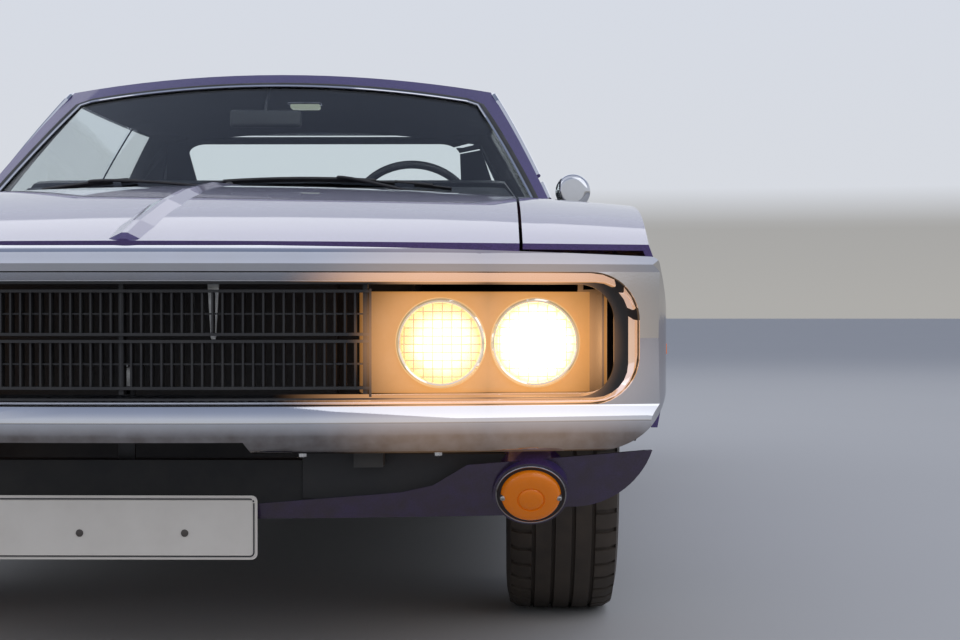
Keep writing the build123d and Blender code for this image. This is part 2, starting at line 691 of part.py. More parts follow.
# Radiator behind the grille, on its support panel
apron_inner = 474
with BuildPart() as radiator:
    slab((-330, 330), (470, 520), (350, 740))
    slab((fit_gap - apron_inner, apron_inner - fit_gap), (520 + fit_gap, 529), (392 + fit_gap, 770))
    slab((-300, 300), (520 + fit_gap, 540), (400, 710), Mode.SUBTRACT)

# Underbody: floor, tunnel, firewall, aprons, rails and wheelhouses
rail_inner, rail_outer = 390, 450
apron = 480
with BuildPart() as underbody:
    slab((-side_wall, side_wall), (1600, 3520), (262, 272))
    slab((-130, 130), (1600, 3520), (272, 430))
    slab((-118, 118), (1590, 3530), (255, 420), Mode.SUBTRACT)
    slab((-716, 716), (1600, 1610), (262, 862))
    slab((-118, 118), (1590, 1620), (255, 420), Mode.SUBTRACT)
    slab((-619, 619), (3510, 3520), (262, 512))
    slab((-118, 118), (3500, 3530), (255, 420), Mode.SUBTRACT)
    slab((-619, 619), (3510, 5140), (500, 510))
    slab((-619, 619), (5130, 5140), (420, 700))
    for side in (-1, 1):
        for inner, outer, place, z in (
            (apron - 6, apron, (500, 1604), (390, 800)),
            (rail_inner, apron, (1000, 1604), (384, 392)),
            (rail_inner, rail_outer, (150, 1610), (300, 392)),
            (rail_inner, rail_outer, (1590, 1610), (236, 392)),
            (rail_inner, rail_outer, (1600, 3520), (236, 262)),
            (rail_inner, rail_outer, (3510, 3560), (236, 500)),
            (rail_inner, rail_outer, (3520, 5160), (436, 502)),
            (side_wall - 9, side_wall, (1650, 3520), (240, 305)),
        ):
            slab((min(side * inner, side * outer), max(side * inner, side * outer)), place, z)
    slab((-460, 460), (150, 200), (300, 392))
with BuildPart() as wheelhouses:
    for centre, radius, inner, outer in ((front_axle, 396, apron - 6, 940), (rear_axle, 378, 620, 960)):
        with Locations(((inner + outer) / 2, centre, tyre_radius)):
            Cylinder(radius + 6, outer - inner, rotation=(0, 90, 0))
            Cylinder(radius, outer - inner + 2, rotation=(0, 90, 0), mode=Mode.SUBTRACT)
        with Locations((inner + 3, centre, tyre_radius)):
            Cylinder(radius + 2, 6, rotation=(0, 90, 0))
    slab((0, 1000), (-100, overall_length), (0, tyre_radius + 60), Mode.SUBTRACT)
    slab((0, apron), (-100, 2000), (0, 1100), Mode.SUBTRACT)
    add(body_clear, mode=Mode.INTERSECT)
    slab((862, 1000), (1300, 1800), (0, 500), Mode.SUBTRACT)
    mirror(about=Plane.YZ)
with BuildPart() as bumper_brackets:
    for side in (-1, 1):
        slab((side * 420 - 25, side * 420 + 25), (60, 175), (385, 470))
    add(ahead_of_nose_line(bumper_depth + fit_gap), mode=Mode.INTERSECT)
with BuildPart() as hood_hinges:
    for side in (-1, 1):
        slab((side * 640 - 20, side * 640 + 20), (hood_rear - 80, 1610), (800, 1100))
        slab((side * 640 - 20, side * 640 + 20), (hood_rear - 80, 1610), (790, 802))
    slab((-1000, 1000), (1000, hood_rear), (600, 1100), Mode.INTERSECT)
    add(under_closed_lids, mode=Mode.INTERSECT)
    slab((-660, 660), (hood_rear - 20, 1606), (790, 830))
with BuildPart() as underbody_shell:
    add(underbody.part)
    add(wheelhouses.part)
    add(bumper_brackets.part)
    add(hood_hinges.part)

# Rear bumper
with BuildPart() as rear_bumper:
    with BuildSketch(Plane.XY.offset(505)):
        with BuildLine():
            edge = overall_length
            seat = at(tail_place + tail_thickness + fit_gap)
            ThreePointArc((-925, at(edge - 46)), (0, at(edge)), (925, at(edge - 46)))
            Polyline((925, at(edge - 46)), (925, seat), (-925, seat), (-925, at(edge - 46)))
        make_face()
    extrude(amount=130)
    fillet(rear_bumper.edges().filter_by(Axis.Z).group_by(Axis.Y)[-1], 24)
    fillet(rear_bumper.faces().sort_by(Axis.Z)[-1].edges().group_by(Axis.Y)[-1], 16)
    fillet(rear_bumper.faces().sort_by(Axis.Z)[0].edges().group_by(Axis.Y)[-1], 16)

# Dashboard with the steering column
steering_centre = (383, 2350, 905)
steering_tilt = 24  # of the wheel's plane from upright
column_axis = Vector(0, cos(radians(steering_tilt)), sin(radians(steering_tilt)))
steering_point = Vector(steering_centre[0], at(steering_centre[1]), steering_centre[2])
with BuildPart() as dash_pad:
    add(lofted(body_stations, body_section, lid_thickness + 12))
    slab((-716, 716), (1650, 2070), (770, 1100), Mode.INTERSECT)
    add(behind_windshield(12 + fit_gap), mode=Mode.INTERSECT)
    fillet(dash_pad.edges().group_by(Axis.Y)[-1].sort_by(Axis.Z)[-1], 22)
with BuildPart() as dashboard:
    add(dash_pad.part)
    slab((230, 540), (2066, 2100), (800, 900))
    tube_between(tuple(steering_point - column_axis * 420), tuple(steering_point - column_axis * 34), 26)
    slab((steering_centre[0] - 30, steering_centre[0] + 30), (1900, 2060), (690, 800))
with BuildPart() as steering_wheel:
    wheel_plane = Plane(origin=steering_point, x_dir=(1, 0, 0), z_dir=column_axis)
    with Locations(wheel_plane):
        Torus(190, 12)
        Cylinder(38, 40)
        for angle in (0, 90, 180):
            with Locations(Rotation(0, 0, angle)):
                with Locations((112, 0, 0)):
                    Box(156, 26, 8)
    with Locations(wheel_plane.offset(-26)):
        Cylinder(18, 15.4)

# Seats
seat_half_width = 245
with BuildPart() as front_seats:
    for side in (-1, 1):
        x = (side * 383 - seat_half_width, side * 383 + seat_half_width)
        slab(x, (2480, 3000), (310, 520))
        with BuildSketch(Plane.YZ.offset(x[0])):
            with BuildLine():
                Polyline((at(2870), 470), (at(3010), 470), (at(3120), 1010), (at(3030), 1020), close=True)
            make_face()
        extrude(amount=2 * seat_half_width)
    fillet(front_seats.edges().filter_by(Axis.X).group_by(Axis.Z)[-1], 34)
    slab((383 - 200, 383 + 200), (2520, 2960), (272 + fit_gap, 312))
    slab((-383 - 200, -383 + 200), (2520, 2960), (272 + fit_gap, 312))
with BuildPart() as rear_seat:
    slab((-560, 560), (3130, 3500), (300, 540))
    with BuildSketch(Plane.YZ.offset(-560)):
        with BuildLine():
            Polyline((at(3400), 500), (at(3505), 500), (at(3640), 880), (at(3530), 884), close=True)
        make_face()
    extrude(amount=1120)
    fillet(rear_seat.edges().filter_by(Axis.X).group_by(Axis.Z)[-1], 30)
    slab((-560, 560), (3130, 3300), (272 + fit_gap, 302))
    slab((-131, 131), (3100, 3520), (260, 431), Mode.SUBTRACT)

# Engine, one plain block with its air cleaner
with BuildPart() as engine:
    slab((-150, 150), (700, 1380), (300, 560))
    with BuildSketch(Plane.XZ.offset(-at(740))):
        with BuildLine():
            Polyline((-150, 420), (150, 420), (290, 640), (180, 730), (-180, 730), (-290, 640), close=True)
        make_face()
    extrude(amount=-600)
    with Locations((0, at(980), 770)):
        Cylinder(190, 80)
    slab((fit_gap - rail_inner, rail_inner - fit_gap), (1000, 1060), (352, 392))

# Gearbox and propeller shaft
casing_half = 105  # half-length of the axle's casing
with BuildPart() as driveline:
    tube_between((0, at(1381), 350), (0, at(1950), 345), 62)
    tube_between((0, at(1950), 345), (0, at(rear_axle_place - casing_half - fit_gap), 336), 38)
    slab((fit_gap - rail_inner, rail_inner - fit_gap), (1890, 1950), (242, 262 - fit_gap))
    slab((-30, 30), (1890, 1950), (250, 300))

# Rear axle on its leaf springs
with BuildPart() as rear_axle_tube:
    tube_between((-690, rear_axle, tyre_radius), (690, rear_axle, tyre_radius), 40)
    with Locations((0, rear_axle, tyre_radius)):
        Cylinder(118, 2 * casing_half, rotation=(90, 0, 0))
    chamfer(rear_axle_tube.edges().filter_by(GeomType.CIRCLE).sort_by(SortBy.RADIUS)[-2:], 34)
    for side in (-1, 1):
        tube_between((side * 690, rear_axle, tyre_radius), (side * (half_track_rear + 20), rear_axle, tyre_radius),
                     spindle_radius)
        with BuildSketch(Plane.YZ.offset(side * 545 - 30)):
            with BuildLine():
                ThreePointArc((at(3560), 352), (rear_axle, 286), (at(4500), 390))
                Line((at(4500), 390), (at(4500), 402))
                ThreePointArc((at(4500), 402), (rear_axle, 298), (at(3560), 364))
                Line((at(3560), 364), (at(3560), 352))
            make_face()
        extrude(amount=60)
        for place, low in ((3575, 350), (4485, 388)):
            x = (side * (rail_outer + fit_gap), side * 575)
            slab((min(x), max(x)), (place - 15, place + 15), (low, 500 - fit_gap))

# Exhaust pipes and silencers
pipe_height = 214
with BuildPart() as exhaust:
    for side in (-1, 1):
        tube_between((side * 230, at(1150), pipe_height), (side * 230, at(overall_length - 90), pipe_height), 24)
        slab((side * 230 - 80, side * 230 + 80), (2500, 3050), (pipe_height - 40, pipe_height + 40))
        slab((min(side * 222, side * 238), max(side * 222, side * 238)), (5000, 5012), (pipe_height, 499.7))

# Fuel tank
with BuildPart() as fuel_tank:
    slab((-190, 190), (4300, 4900), (290, 500 - fit_gap))
    fillet(fuel_tank.edges().filter_by(Axis.Y), 30)

# Front crossmember with its control arms, whose ball joints hold the knuckles
knuckle_height = 168
with BuildPart() as front_crossmember:
    slab((-rail_outer, rail_outer), (905, 1005), (240, 300 - fit_gap))
    slab((-200, 200), (915, 995), (215, 250))
    for side in (-1, 1):
        tube_between((side * 420, front_axle, 272), (side * (kingpin - 6), front_axle, 228), 15)
        tube_between((side * 420, at(front_overhang - 100), 272), (side * (kingpin - 30), front_axle, 229), 11)
        tube_between((side * (apron - 4), at(front_overhang + 60), 452), (side * (kingpin - 4), front_axle, 442), 11)
        tube_between((side * (apron - 4), at(front_overhang - 60), 452), (side * (kingpin - 4), front_axle, 442), 11)
        for height in (tyre_radius - knuckle_height / 2 - fit_gap - 14, tyre_radius + knuckle_height / 2 + fit_gap + 14):
            with Locations((side * kingpin, front_axle, height)):
                Cylinder(18, 28)
    slab((-apron - 0.1, apron + 0.1), (800, 1100), (400, 500), Mode.SUBTRACT)

# Steering knuckles on their kingpins
with BuildPart() as knuckle_left:
    with Locations((kingpin, front_axle, tyre_radius)):
        Cylinder(19, knuckle_height)
    tube_between((kingpin, front_axle, tyre_radius), (half_track_front + 22, front_axle, tyre_radius), spindle_radius)
    with Locations((kingpin + 21, front_axle, tyre_radius)):
        Cylinder(drum_radius - 4, 3, rotation=(0, 90, 0))
with BuildPart() as knuckle_right:
    mirror(knuckle_left.part, about=Plane.YZ)

# Wheels and tyres, modelled at the left and mirrored
spoke_window = 27  # half-angle of the openings between spokes


def wheel(half_track, axle):
    """A five-spoke wheel with its brake drum, on the left side."""
    outline = Plane(origin=(half_track, axle, tyre_radius), x_dir=(1, 0, 0), z_dir=(0, 0, 1))
    axis = Axis((half_track, axle, tyre_radius), (1, 0, 0))
    half = rim_width / 2
    barrel = rim_radius - rim_wall
    with BuildPart() as disc:
        with BuildSketch(outline):
            with BuildLine():
                Polyline(
                    (12, spindle_radius + running_gap), (12, 60), (30, 84), (44, 120), (38, barrel + 2), (50, barrel + 2),
                    (58, 128), (46, 88), (40, 52), (56, 48), (60, 34), (60, 0), (54, 0), (54, spindle_radius + running_gap),
                    close=True,
                )
            make_face()
        revolve(axis=axis)
        for i in range(spoke_count):
            angle = radians(360 / spoke_count * (i + 0.5))
            middle = (half_track + 40, axle + 122 * cos(angle), tyre_radius + 122 * sin(angle))
            with Locations(Plane(origin=middle, x_dir=(0, cos(angle), sin(angle)), z_dir=(1, 0, 0))):
                Box(62, 88, 120, mode=Mode.SUBTRACT)
    with BuildPart() as whole:
        add(disc.part)
        with BuildSketch(outline):
            with BuildLine():
                Polyline(
                    (-half, barrel), (-half, rim_radius + flange_height), (-half + 6, rim_radius + flange_height),
                    (-half + 6, rim_radius), (half - 6, rim_radius), (half - 6, rim_radius + flange_height),
                    (half, rim_radius + flange_height), (half, barrel), close=True,
                )
            make_face()
        revolve(axis=axis)
        with BuildSketch(outline):
            with BuildLine():
                Polyline(
                    (-3, spindle_radius + running_gap), (-3, drum_radius), (24, drum_radius), (24, drum_radius - 8),
                    (3, drum_radius - 8), (3, 60), (12, 60), (12, spindle_radius + running_gap), close=True,
                )
            make_face()
        revolve(axis=axis)
    return whole.part


def tyre(half_track, axle):
    """A plain tyre on its rim, on the left side; its tread is cut elsewhere."""
    outline = Plane(origin=(half_track, axle, tyre_radius), x_dir=(1, 0, 0), z_dir=(0, 0, 1))
    bead = rim_width / 2 - rim_wall - fit_gap
    bore = rim_radius + fit_gap
    wall = tyre_width / 2
    with BuildPart() as ring:
        with BuildSketch(outline):
            with BuildLine():
                Polyline((-bead, bore + 22), (-bead, bore), (bead, bore), (bead, bore + 22))
                ThreePointArc((bead, bore + 22), (wall, 262), (wall - 10, 312))
                Polyline((wall - 10, 312), (wall - 26, tyre_radius - 4))
                ThreePointArc((wall - 26, tyre_radius - 4), (0, tyre_radius), (26 - wall, tyre_radius - 4))
                Polyline((26 - wall, tyre_radius - 4), (10 - wall, 312))
                ThreePointArc((10 - wall, 312), (-wall, 262), (-bead, bore + 22))
            make_face()
        revolve(axis=Axis((half_track, axle, tyre_radius), (1, 0, 0)))
    return ring.part


running_gear = {}
for end, half_track, axle in (("front", half_track_front, front_axle), ("rear", half_track_rear, rear_axle)):
    for name, left in ((f"wheel_{end}", wheel(half_track, axle)), (f"tyre_{end}", tyre(half_track, axle))):
        with BuildPart() as left_piece:
            add(left)
        with BuildPart() as right_piece:
            mirror(left, about=Plane.YZ)
        running_gear[f"{name}_left"] = left_piece
        running_gear[f"{name}_right"] = right_piece

# Door mirrors
mirror_place = (854, 2100, 990)
mirror_radius = 50
with BuildPart() as mirror_left:
    with Locations((mirror_place[0], at(mirror_place[1]), mirror_place[2])):
        Cylinder(mirror_radius, 26, rotation=(90, 0, 0))
    fillet(mirror_left.edges().filter_by(GeomType.CIRCLE).sort_by(Axis.Y)[0], 18)
    tube_between(
        (mirror_place[0], at(mirror_place[1]), mirror_place[2] - 40), (mirror_place[0], at(mirror_place[1] - 20), belt + 7), 8
    )
    with Locations((mirror_place[0], at(mirror_place[1] - 22), belt + fit_gap + 3)):
        Cylinder(20, 6)
with BuildPart() as mirror_right:
    mirror(mirror_left.part, about=Plane.YZ)

pieces = {
    "hood": hood_panel,
    "trunk_lid": trunk_lid,
    "fender_left": fender_left,
    "fender_right": fender_right,
    "door_left": door_left,
    "door_right": door_right,
    "door_glass_left": door_glass_left,
    "door_glass_right": door_glass_right,
    "quarter_glass_left": quarter_glass_left,
    "quarter_glass_right": quarter_glass_right,
    "roof": roof,
    "windshield": windshield,
    "backlight": backlight,
    "quarter_panel_left": quarter_panel_left,
    "quarter_panel_right": quarter_panel_right,
    "cowl": cowl_panel,
    "sill_left": sill_left,
    "sill_right": sill_right,
    "rear_shelf": rear_shelf,
    "tail_panel": tail_panel,
    "tail_lamps": tail_lamps,
    "rear_bumper": rear_bumper,
    "front_bumper": front_bumper,
    "grille": grille,
    "headlamps": headlamps,
    "headlamp_door_left": headlamp_door_left,
    "headlamp_door_right": headlamp_door_right,
    "front_valance": front_valance,
    "turn_signals": turn_signals,
    "radiator": radiator,
    "underbody": underbody_shell,
    "dashboard": dashboard,
    "steering_wheel": steering_wheel,
    "front_seats": front_seats,
    "rear_seat": rear_seat,
    "engine": engine,
    "driveline": driveline,
    "rear_axle": rear_axle_tube,
    "exhaust": exhaust,
    "fuel_tank": fuel_tank,
    "front_crossmember": front_crossmember,
    "knuckle_left": knuckle_left,
    "knuckle_right": knuckle_right,
    "mirror_left": mirror_left,
    "mirror_right": mirror_right,
    **running_gear,
}
os.makedirs("parts", exist_ok=True)
for name, piece in pieces.items():
    piece.part.label = name
    export_step(piece.part, f"parts/{name}.step")
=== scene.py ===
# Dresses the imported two-door hardtop for the photograph's view: finishes, lamps, trim, tread and seats.
from math import atan2, cos, hypot, pi, radians, sin, sqrt

import bmesh
import bpy
from mathutils import Matrix, Vector


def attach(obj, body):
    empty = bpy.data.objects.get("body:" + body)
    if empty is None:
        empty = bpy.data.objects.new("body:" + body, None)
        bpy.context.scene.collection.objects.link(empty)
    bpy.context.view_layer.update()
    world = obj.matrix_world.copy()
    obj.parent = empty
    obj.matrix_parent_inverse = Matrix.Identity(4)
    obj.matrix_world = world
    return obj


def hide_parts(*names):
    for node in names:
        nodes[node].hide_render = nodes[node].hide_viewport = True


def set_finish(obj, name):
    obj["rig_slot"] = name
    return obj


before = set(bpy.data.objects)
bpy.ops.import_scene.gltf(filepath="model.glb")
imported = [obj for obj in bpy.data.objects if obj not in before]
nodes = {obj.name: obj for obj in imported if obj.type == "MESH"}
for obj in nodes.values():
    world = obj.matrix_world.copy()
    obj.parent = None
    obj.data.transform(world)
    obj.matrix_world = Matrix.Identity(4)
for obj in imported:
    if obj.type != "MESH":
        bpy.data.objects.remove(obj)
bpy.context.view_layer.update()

# Sizes that several pieces share, in metres; places are distances behind the front bumper's face
carPlan = {
    "length": 5.283,
    "noseRadius": 3.737,
    "axles": {"front": (0.776, 0.955), "rear": (0.768, 3.927)},  # half track, place
    "wheelHeight": 0.335,
    "lampPlaces": (0.541, 0.709),
    "lampHeight": 0.597,
    "bayMiddle": 0.636,
}
sideNames = {1: "left", -1: "right"}


def placeY(place):
    return place - carPlan["length"] / 2


def sweptBack(x):
    return carPlan["noseRadius"] - sqrt(carPlan["noseRadius"] ** 2 - x * x)


print("frame loaded:", len(nodes), "nodes")

# Camera at the photograph's viewing angle
cameraSetup = {
    "place": (0.648, -5.5415, 0.664),
    "turnLeft": 0.69,
    "lookDown": 0.49,
    "lens": 65.36,
    "sensor": 36.0,
}


def addCamera(s):
    bpy.ops.object.select_all(action="DESELECT")
    turn = (radians(90 - s["lookDown"]), 0, radians(s["turnLeft"]))
    bpy.ops.object.camera_add(location=s["place"], rotation=turn)
    camera = bpy.context.object
    camera.name = "photoCamera"
    camera.data.sensor_width = s["sensor"]
    camera.data.lens = s["lens"]
    camera.data.clip_end = 500
    bpy.context.scene.camera = camera


addCamera(cameraSetup)


# Shader nodes: each input takes a value, or the socket that feeds it
def addNode(tree, kind, inputs=None, **settings):
    made = tree.nodes.new("ShaderNode" + kind)
    for key, value in settings.items():
        setattr(made, key, value)
    feed(tree, made, inputs or {})
    return made


def feed(tree, target, inputs):
    for label, value in inputs.items():
        if isinstance(value, bpy.types.NodeSocket):
            tree.links.new(value, target.inputs[label])
        else:
            target.inputs[label].default_value = value


def objectPlace(tree):
    return addNode(tree, "TexCoord").outputs["Object"]


def calculate(tree, operation, *values):
    return addNode(tree, "Math", dict(enumerate(values)), operation=operation).outputs["Value"]


def newMaterial(name):
    material = bpy.data.materials.new(name)
    material.use_nodes = True
    return material, material.node_tree, material.node_tree.nodes["Principled BSDF"]


# Studio: pale floor, soft lamps, and a sky that is pale over a dim horizon and deeper blue above
studio = {
    "floorSize": 160,
    "floorColour": (0.47, 0.465, 0.455, 1),
    "skyStrength": 0.85,
    "skyStops": [  # height of the view line, colour
        (0.000, (0.50, 0.49, 0.47, 1)),
        (0.045, (0.46, 0.455, 0.445, 1)),
        (0.066, (0.80, 0.83, 0.89, 1)),
        (0.300, (0.78, 0.83, 0.94, 1)),
        (0.620, (0.48, 0.54, 0.70, 1)),
        (1.000, (0.24, 0.29, 0.44, 1)),
    ],
    "lamps": [  # name, place, aimed at, size across, size up, watts
        ("keyLamp", (7.0, -8.5, 8.0), (0.2, -1.5, 0.5), 13.0, 9.0, 330),
        ("fillLamp", (-9.0, -4.0, 6.0), (0, -0.5, 0.5), 11.0, 7.0, 170),
        ("overheadLamp", (0.0, -3.6, 9.5), (0, -1.2, 0), 13.0, 9.0, 160),
        ("backLamp", (0.0, 9.0, 8.5), (0, 1.5, 0.6), 18.0, 7.0, 260),
    ],
}


def addFloor(s):
    bpy.ops.object.select_all(action="DESELECT")
    bpy.ops.mesh.primitive_grid_add(x_subdivisions=8, y_subdivisions=8, size=s["floorSize"])
    floor = bpy.context.object
    floor.name = "studioFloor"
    material, tree, shader = newMaterial("paleFloor")
    noise = addNode(tree, "TexNoise", {"Vector": objectPlace(tree), "Scale": 0.7, "Detail": 6})
    ramp = addNode(tree, "ValToRGB", {"Fac": noise.outputs["Fac"]})
    ramp.color_ramp.elements[0].color = s["floorColour"]
    ramp.color_ramp.elements[1].color = [c * 1.04 for c in s["floorColour"][:3]] + [1]
    feed(tree, shader, {"Roughness": 0.85, "Base Color": ramp.outputs["Color"]})
    floor.data.materials.append(material)


def addSky(s):
    world = bpy.data.worlds.new("paleSky")
    bpy.context.scene.world = world
    world.use_nodes = True
    tree = world.node_tree
    view = addNode(tree, "TexCoord").outputs["Generated"]
    split = addNode(tree, "SeparateXYZ", {"Vector": view})
    ramp = addNode(tree, "ValToRGB", {"Fac": split.outputs["Z"]})
    stops = ramp.color_ramp.elements
    while len(stops) < len(s["skyStops"]):
        stops.new(1.0)
    for stop, (place, colour) in zip(stops, s["skyStops"]):
        stop.position = place
        stop.color = colour
    feed(tree, tree.nodes["Background"], {"Strength": s["skyStrength"], "Color": ramp.outputs["Color"]})


def addLamps(s):
    for name, place, target, across, up, watts in s["lamps"]:
        bpy.ops.object.select_all(action="DESELECT")
        bpy.ops.object.light_add(type="AREA", location=place)
        lamp = bpy.context.object
        lamp.name = name
        lamp.data.shape = "RECTANGLE"
        lamp.data.size = across
        lamp.data.size_y = up
        lamp.data.energy = watts
        aim = Vector(target) - Vector(place)
        lamp.rotation_euler = aim.to_track_quat("-Z", "Y").to_euler()


addFloor(studio)
addSky(studio)
addLamps(studio)
bpy.context.scene.view_settings.view_transform = "Standard"
print("studio set")


# Node groups that several finishes share
def newGroup(name, inputs, outputs):
    group = bpy.data.node_groups.new(name, "ShaderNodeTree")
    for label, value in inputs.items():
        kind = "NodeSocketColor" if isinstance(value, tuple) else "NodeSocketFloat"
        group.interface.new_socket(label, in_out="INPUT", socket_type=kind).default_value = value
    for label in outputs:
        kind = "NodeSocketColor" if label == "Color" else "NodeSocketFloat"
        group.interface.new_socket(label, in_out="OUTPUT", socket_type=kind)
    return group, group.nodes.new("NodeGroupInput").outputs, group.nodes.new("NodeGroupOutput")


def makeMottle():
    # slow and fine variation of a colour, as dust and handling leave it
    values = {"Clean": (0.5, 0.5, 0.5, 1), "Dusty": (0.6, 0.6, 0.6, 1), "Scale": 6.0, "Amount": 0.3}
    group, source, result = newGroup("mottledColour", values, ("Color", "Mask"))
    wide = addNode(group, "TexNoise", {"Vector": objectPlace(group), "Scale": source["Scale"], "Detail": 8,
                                       "Roughness": 0.62})
    contrast = addNode(group, "MapRange", {"Value": wide.outputs["Fac"], "From Min": 0.38, "From Max": 0.72})
    share = calculate(group, "MULTIPLY", contrast.outputs["Result"], source["Amount"])
    mix = addNode(group, "Mix", {"Factor": share, "A": source["Clean"], "B": source["Dusty"]}, data_type="RGBA")
    feed(group, result, {"Color": mix.outputs["Result"], "Mask": share})
    return group


def makeGrain():
    # pebbled height for vinyl and rubber, fine noise for metal
    group, source, result = newGroup("pebbleGrain", {"Scale": 400.0, "Softness": 0.5}, ["Height"])
    where = {"Vector": objectPlace(group), "Scale": source["Scale"]}
    cells = addNode(group, "TexVoronoi", where, feature="SMOOTH_F1")
    fine = addNode(group, "TexNoise", {**where, "Detail": 4})
    blend = addNode(group, "Mix", {"Factor": source["Softness"], "A": cells.outputs["Distance"],
                                   "B": fine.outputs["Fac"]})
    feed(group, result, {"Height": blend.outputs["Result"]})
    return group


def makeFlake():
    # tiny tilted flakes under the lacquer
    values = {"Deep": (0.03, 0.01, 0.1, 1), "Bright": (0.1, 0.05, 0.3, 1), "Scale": 900.0}
    group, source, result = newGroup("lacquerFlake", values, ("Color", "Height"))
    where = objectPlace(group)
    flakes = addNode(group, "TexVoronoi", {"Vector": where, "Scale": source["Scale"]})
    cloud = addNode(group, "TexNoise", {"Vector": where, "Scale": 2.2, "Detail": 3})
    split = addNode(group, "SeparateColor", {"Color": flakes.outputs["Color"]}).outputs
    lower = calculate(group, "MULTIPLY", cloud.outputs["Fac"], 0.5)
    share = calculate(group, "MULTIPLY_ADD", split["Red"], 0.55, lower)
    mix = addNode(group, "Mix", {"Factor": share, "A": source["Deep"], "B": source["Bright"]}, data_type="RGBA")
    feed(group, result, {"Color": mix.outputs["Result"], "Height": split["Green"]})
    return group


def makeLampDistance():
    # how far a point lies from a lamp's middle, seen from the front and the same on both sides
    group, source, result = newGroup("lampDistance", {"Place": 0.6}, ["Distance"])
    split = addNode(group, "SeparateXYZ", {"Vector": objectPlace(group)}).outputs
    across = calculate(group, "SUBTRACT", calculate(group, "ABSOLUTE", split["X"]), source["Place"])
    upward = calculate(group, "SUBTRACT", split["Z"], carPlan["lampHeight"])
    away = addNode(group, "CombineXYZ", {"X": across, "Y": upward}).outputs["Vector"]
    reach = addNode(group, "VectorMath", {0: away}, operation="LENGTH").outputs["Value"]
    feed(group, result, {"Distance": reach})
    return group


def makeDustAndPaintedShade():
    # how thickly dust and painted shade lie on a face: most low down under the car, on faces that look down, where
    # shade falls
    group, source, result = newGroup("dustAndPaintedShade", {"Most": 0.8}, ["Mask"])
    where = objectPlace(group)
    height = addNode(group, "SeparateXYZ", {"Vector": where}).outputs["Z"]
    normal = addNode(group, "NewGeometry").outputs["Normal"]
    facing = addNode(group, "SeparateXYZ", {"Vector": normal}).outputs["Z"]
    low = addNode(group, "MapRange", {"Value": height, "From Min": 0.520, "From Max": 0.440})
    down = addNode(group, "MapRange", {"Value": facing, "From Min": 0.02, "From Max": -0.34})
    grit = addNode(group, "TexNoise", {"Vector": where, "Scale": 34, "Detail": 7})
    patches = addNode(group, "MapRange", {"Value": grit.outputs["Fac"], "From Min": 0.30, "From Max": 0.70,
                                          "To Min": 0.72, "To Max": 1.0})
    dustAndShade = calculate(group, "MULTIPLY", low.outputs["Result"], down.outputs["Result"])
    dustAndShade = calculate(group, "MULTIPLY", dustAndShade, patches.outputs["Result"])
    feed(group, result, {"Mask": calculate(group, "MULTIPLY", dustAndShade, source["Most"])})
    return group


mottle, grain, flake, lampDistance, dustAndPaintedShade = (
    makeMottle(), makeGrain(), makeFlake(), makeLampDistance(), makeDustAndPaintedShade())

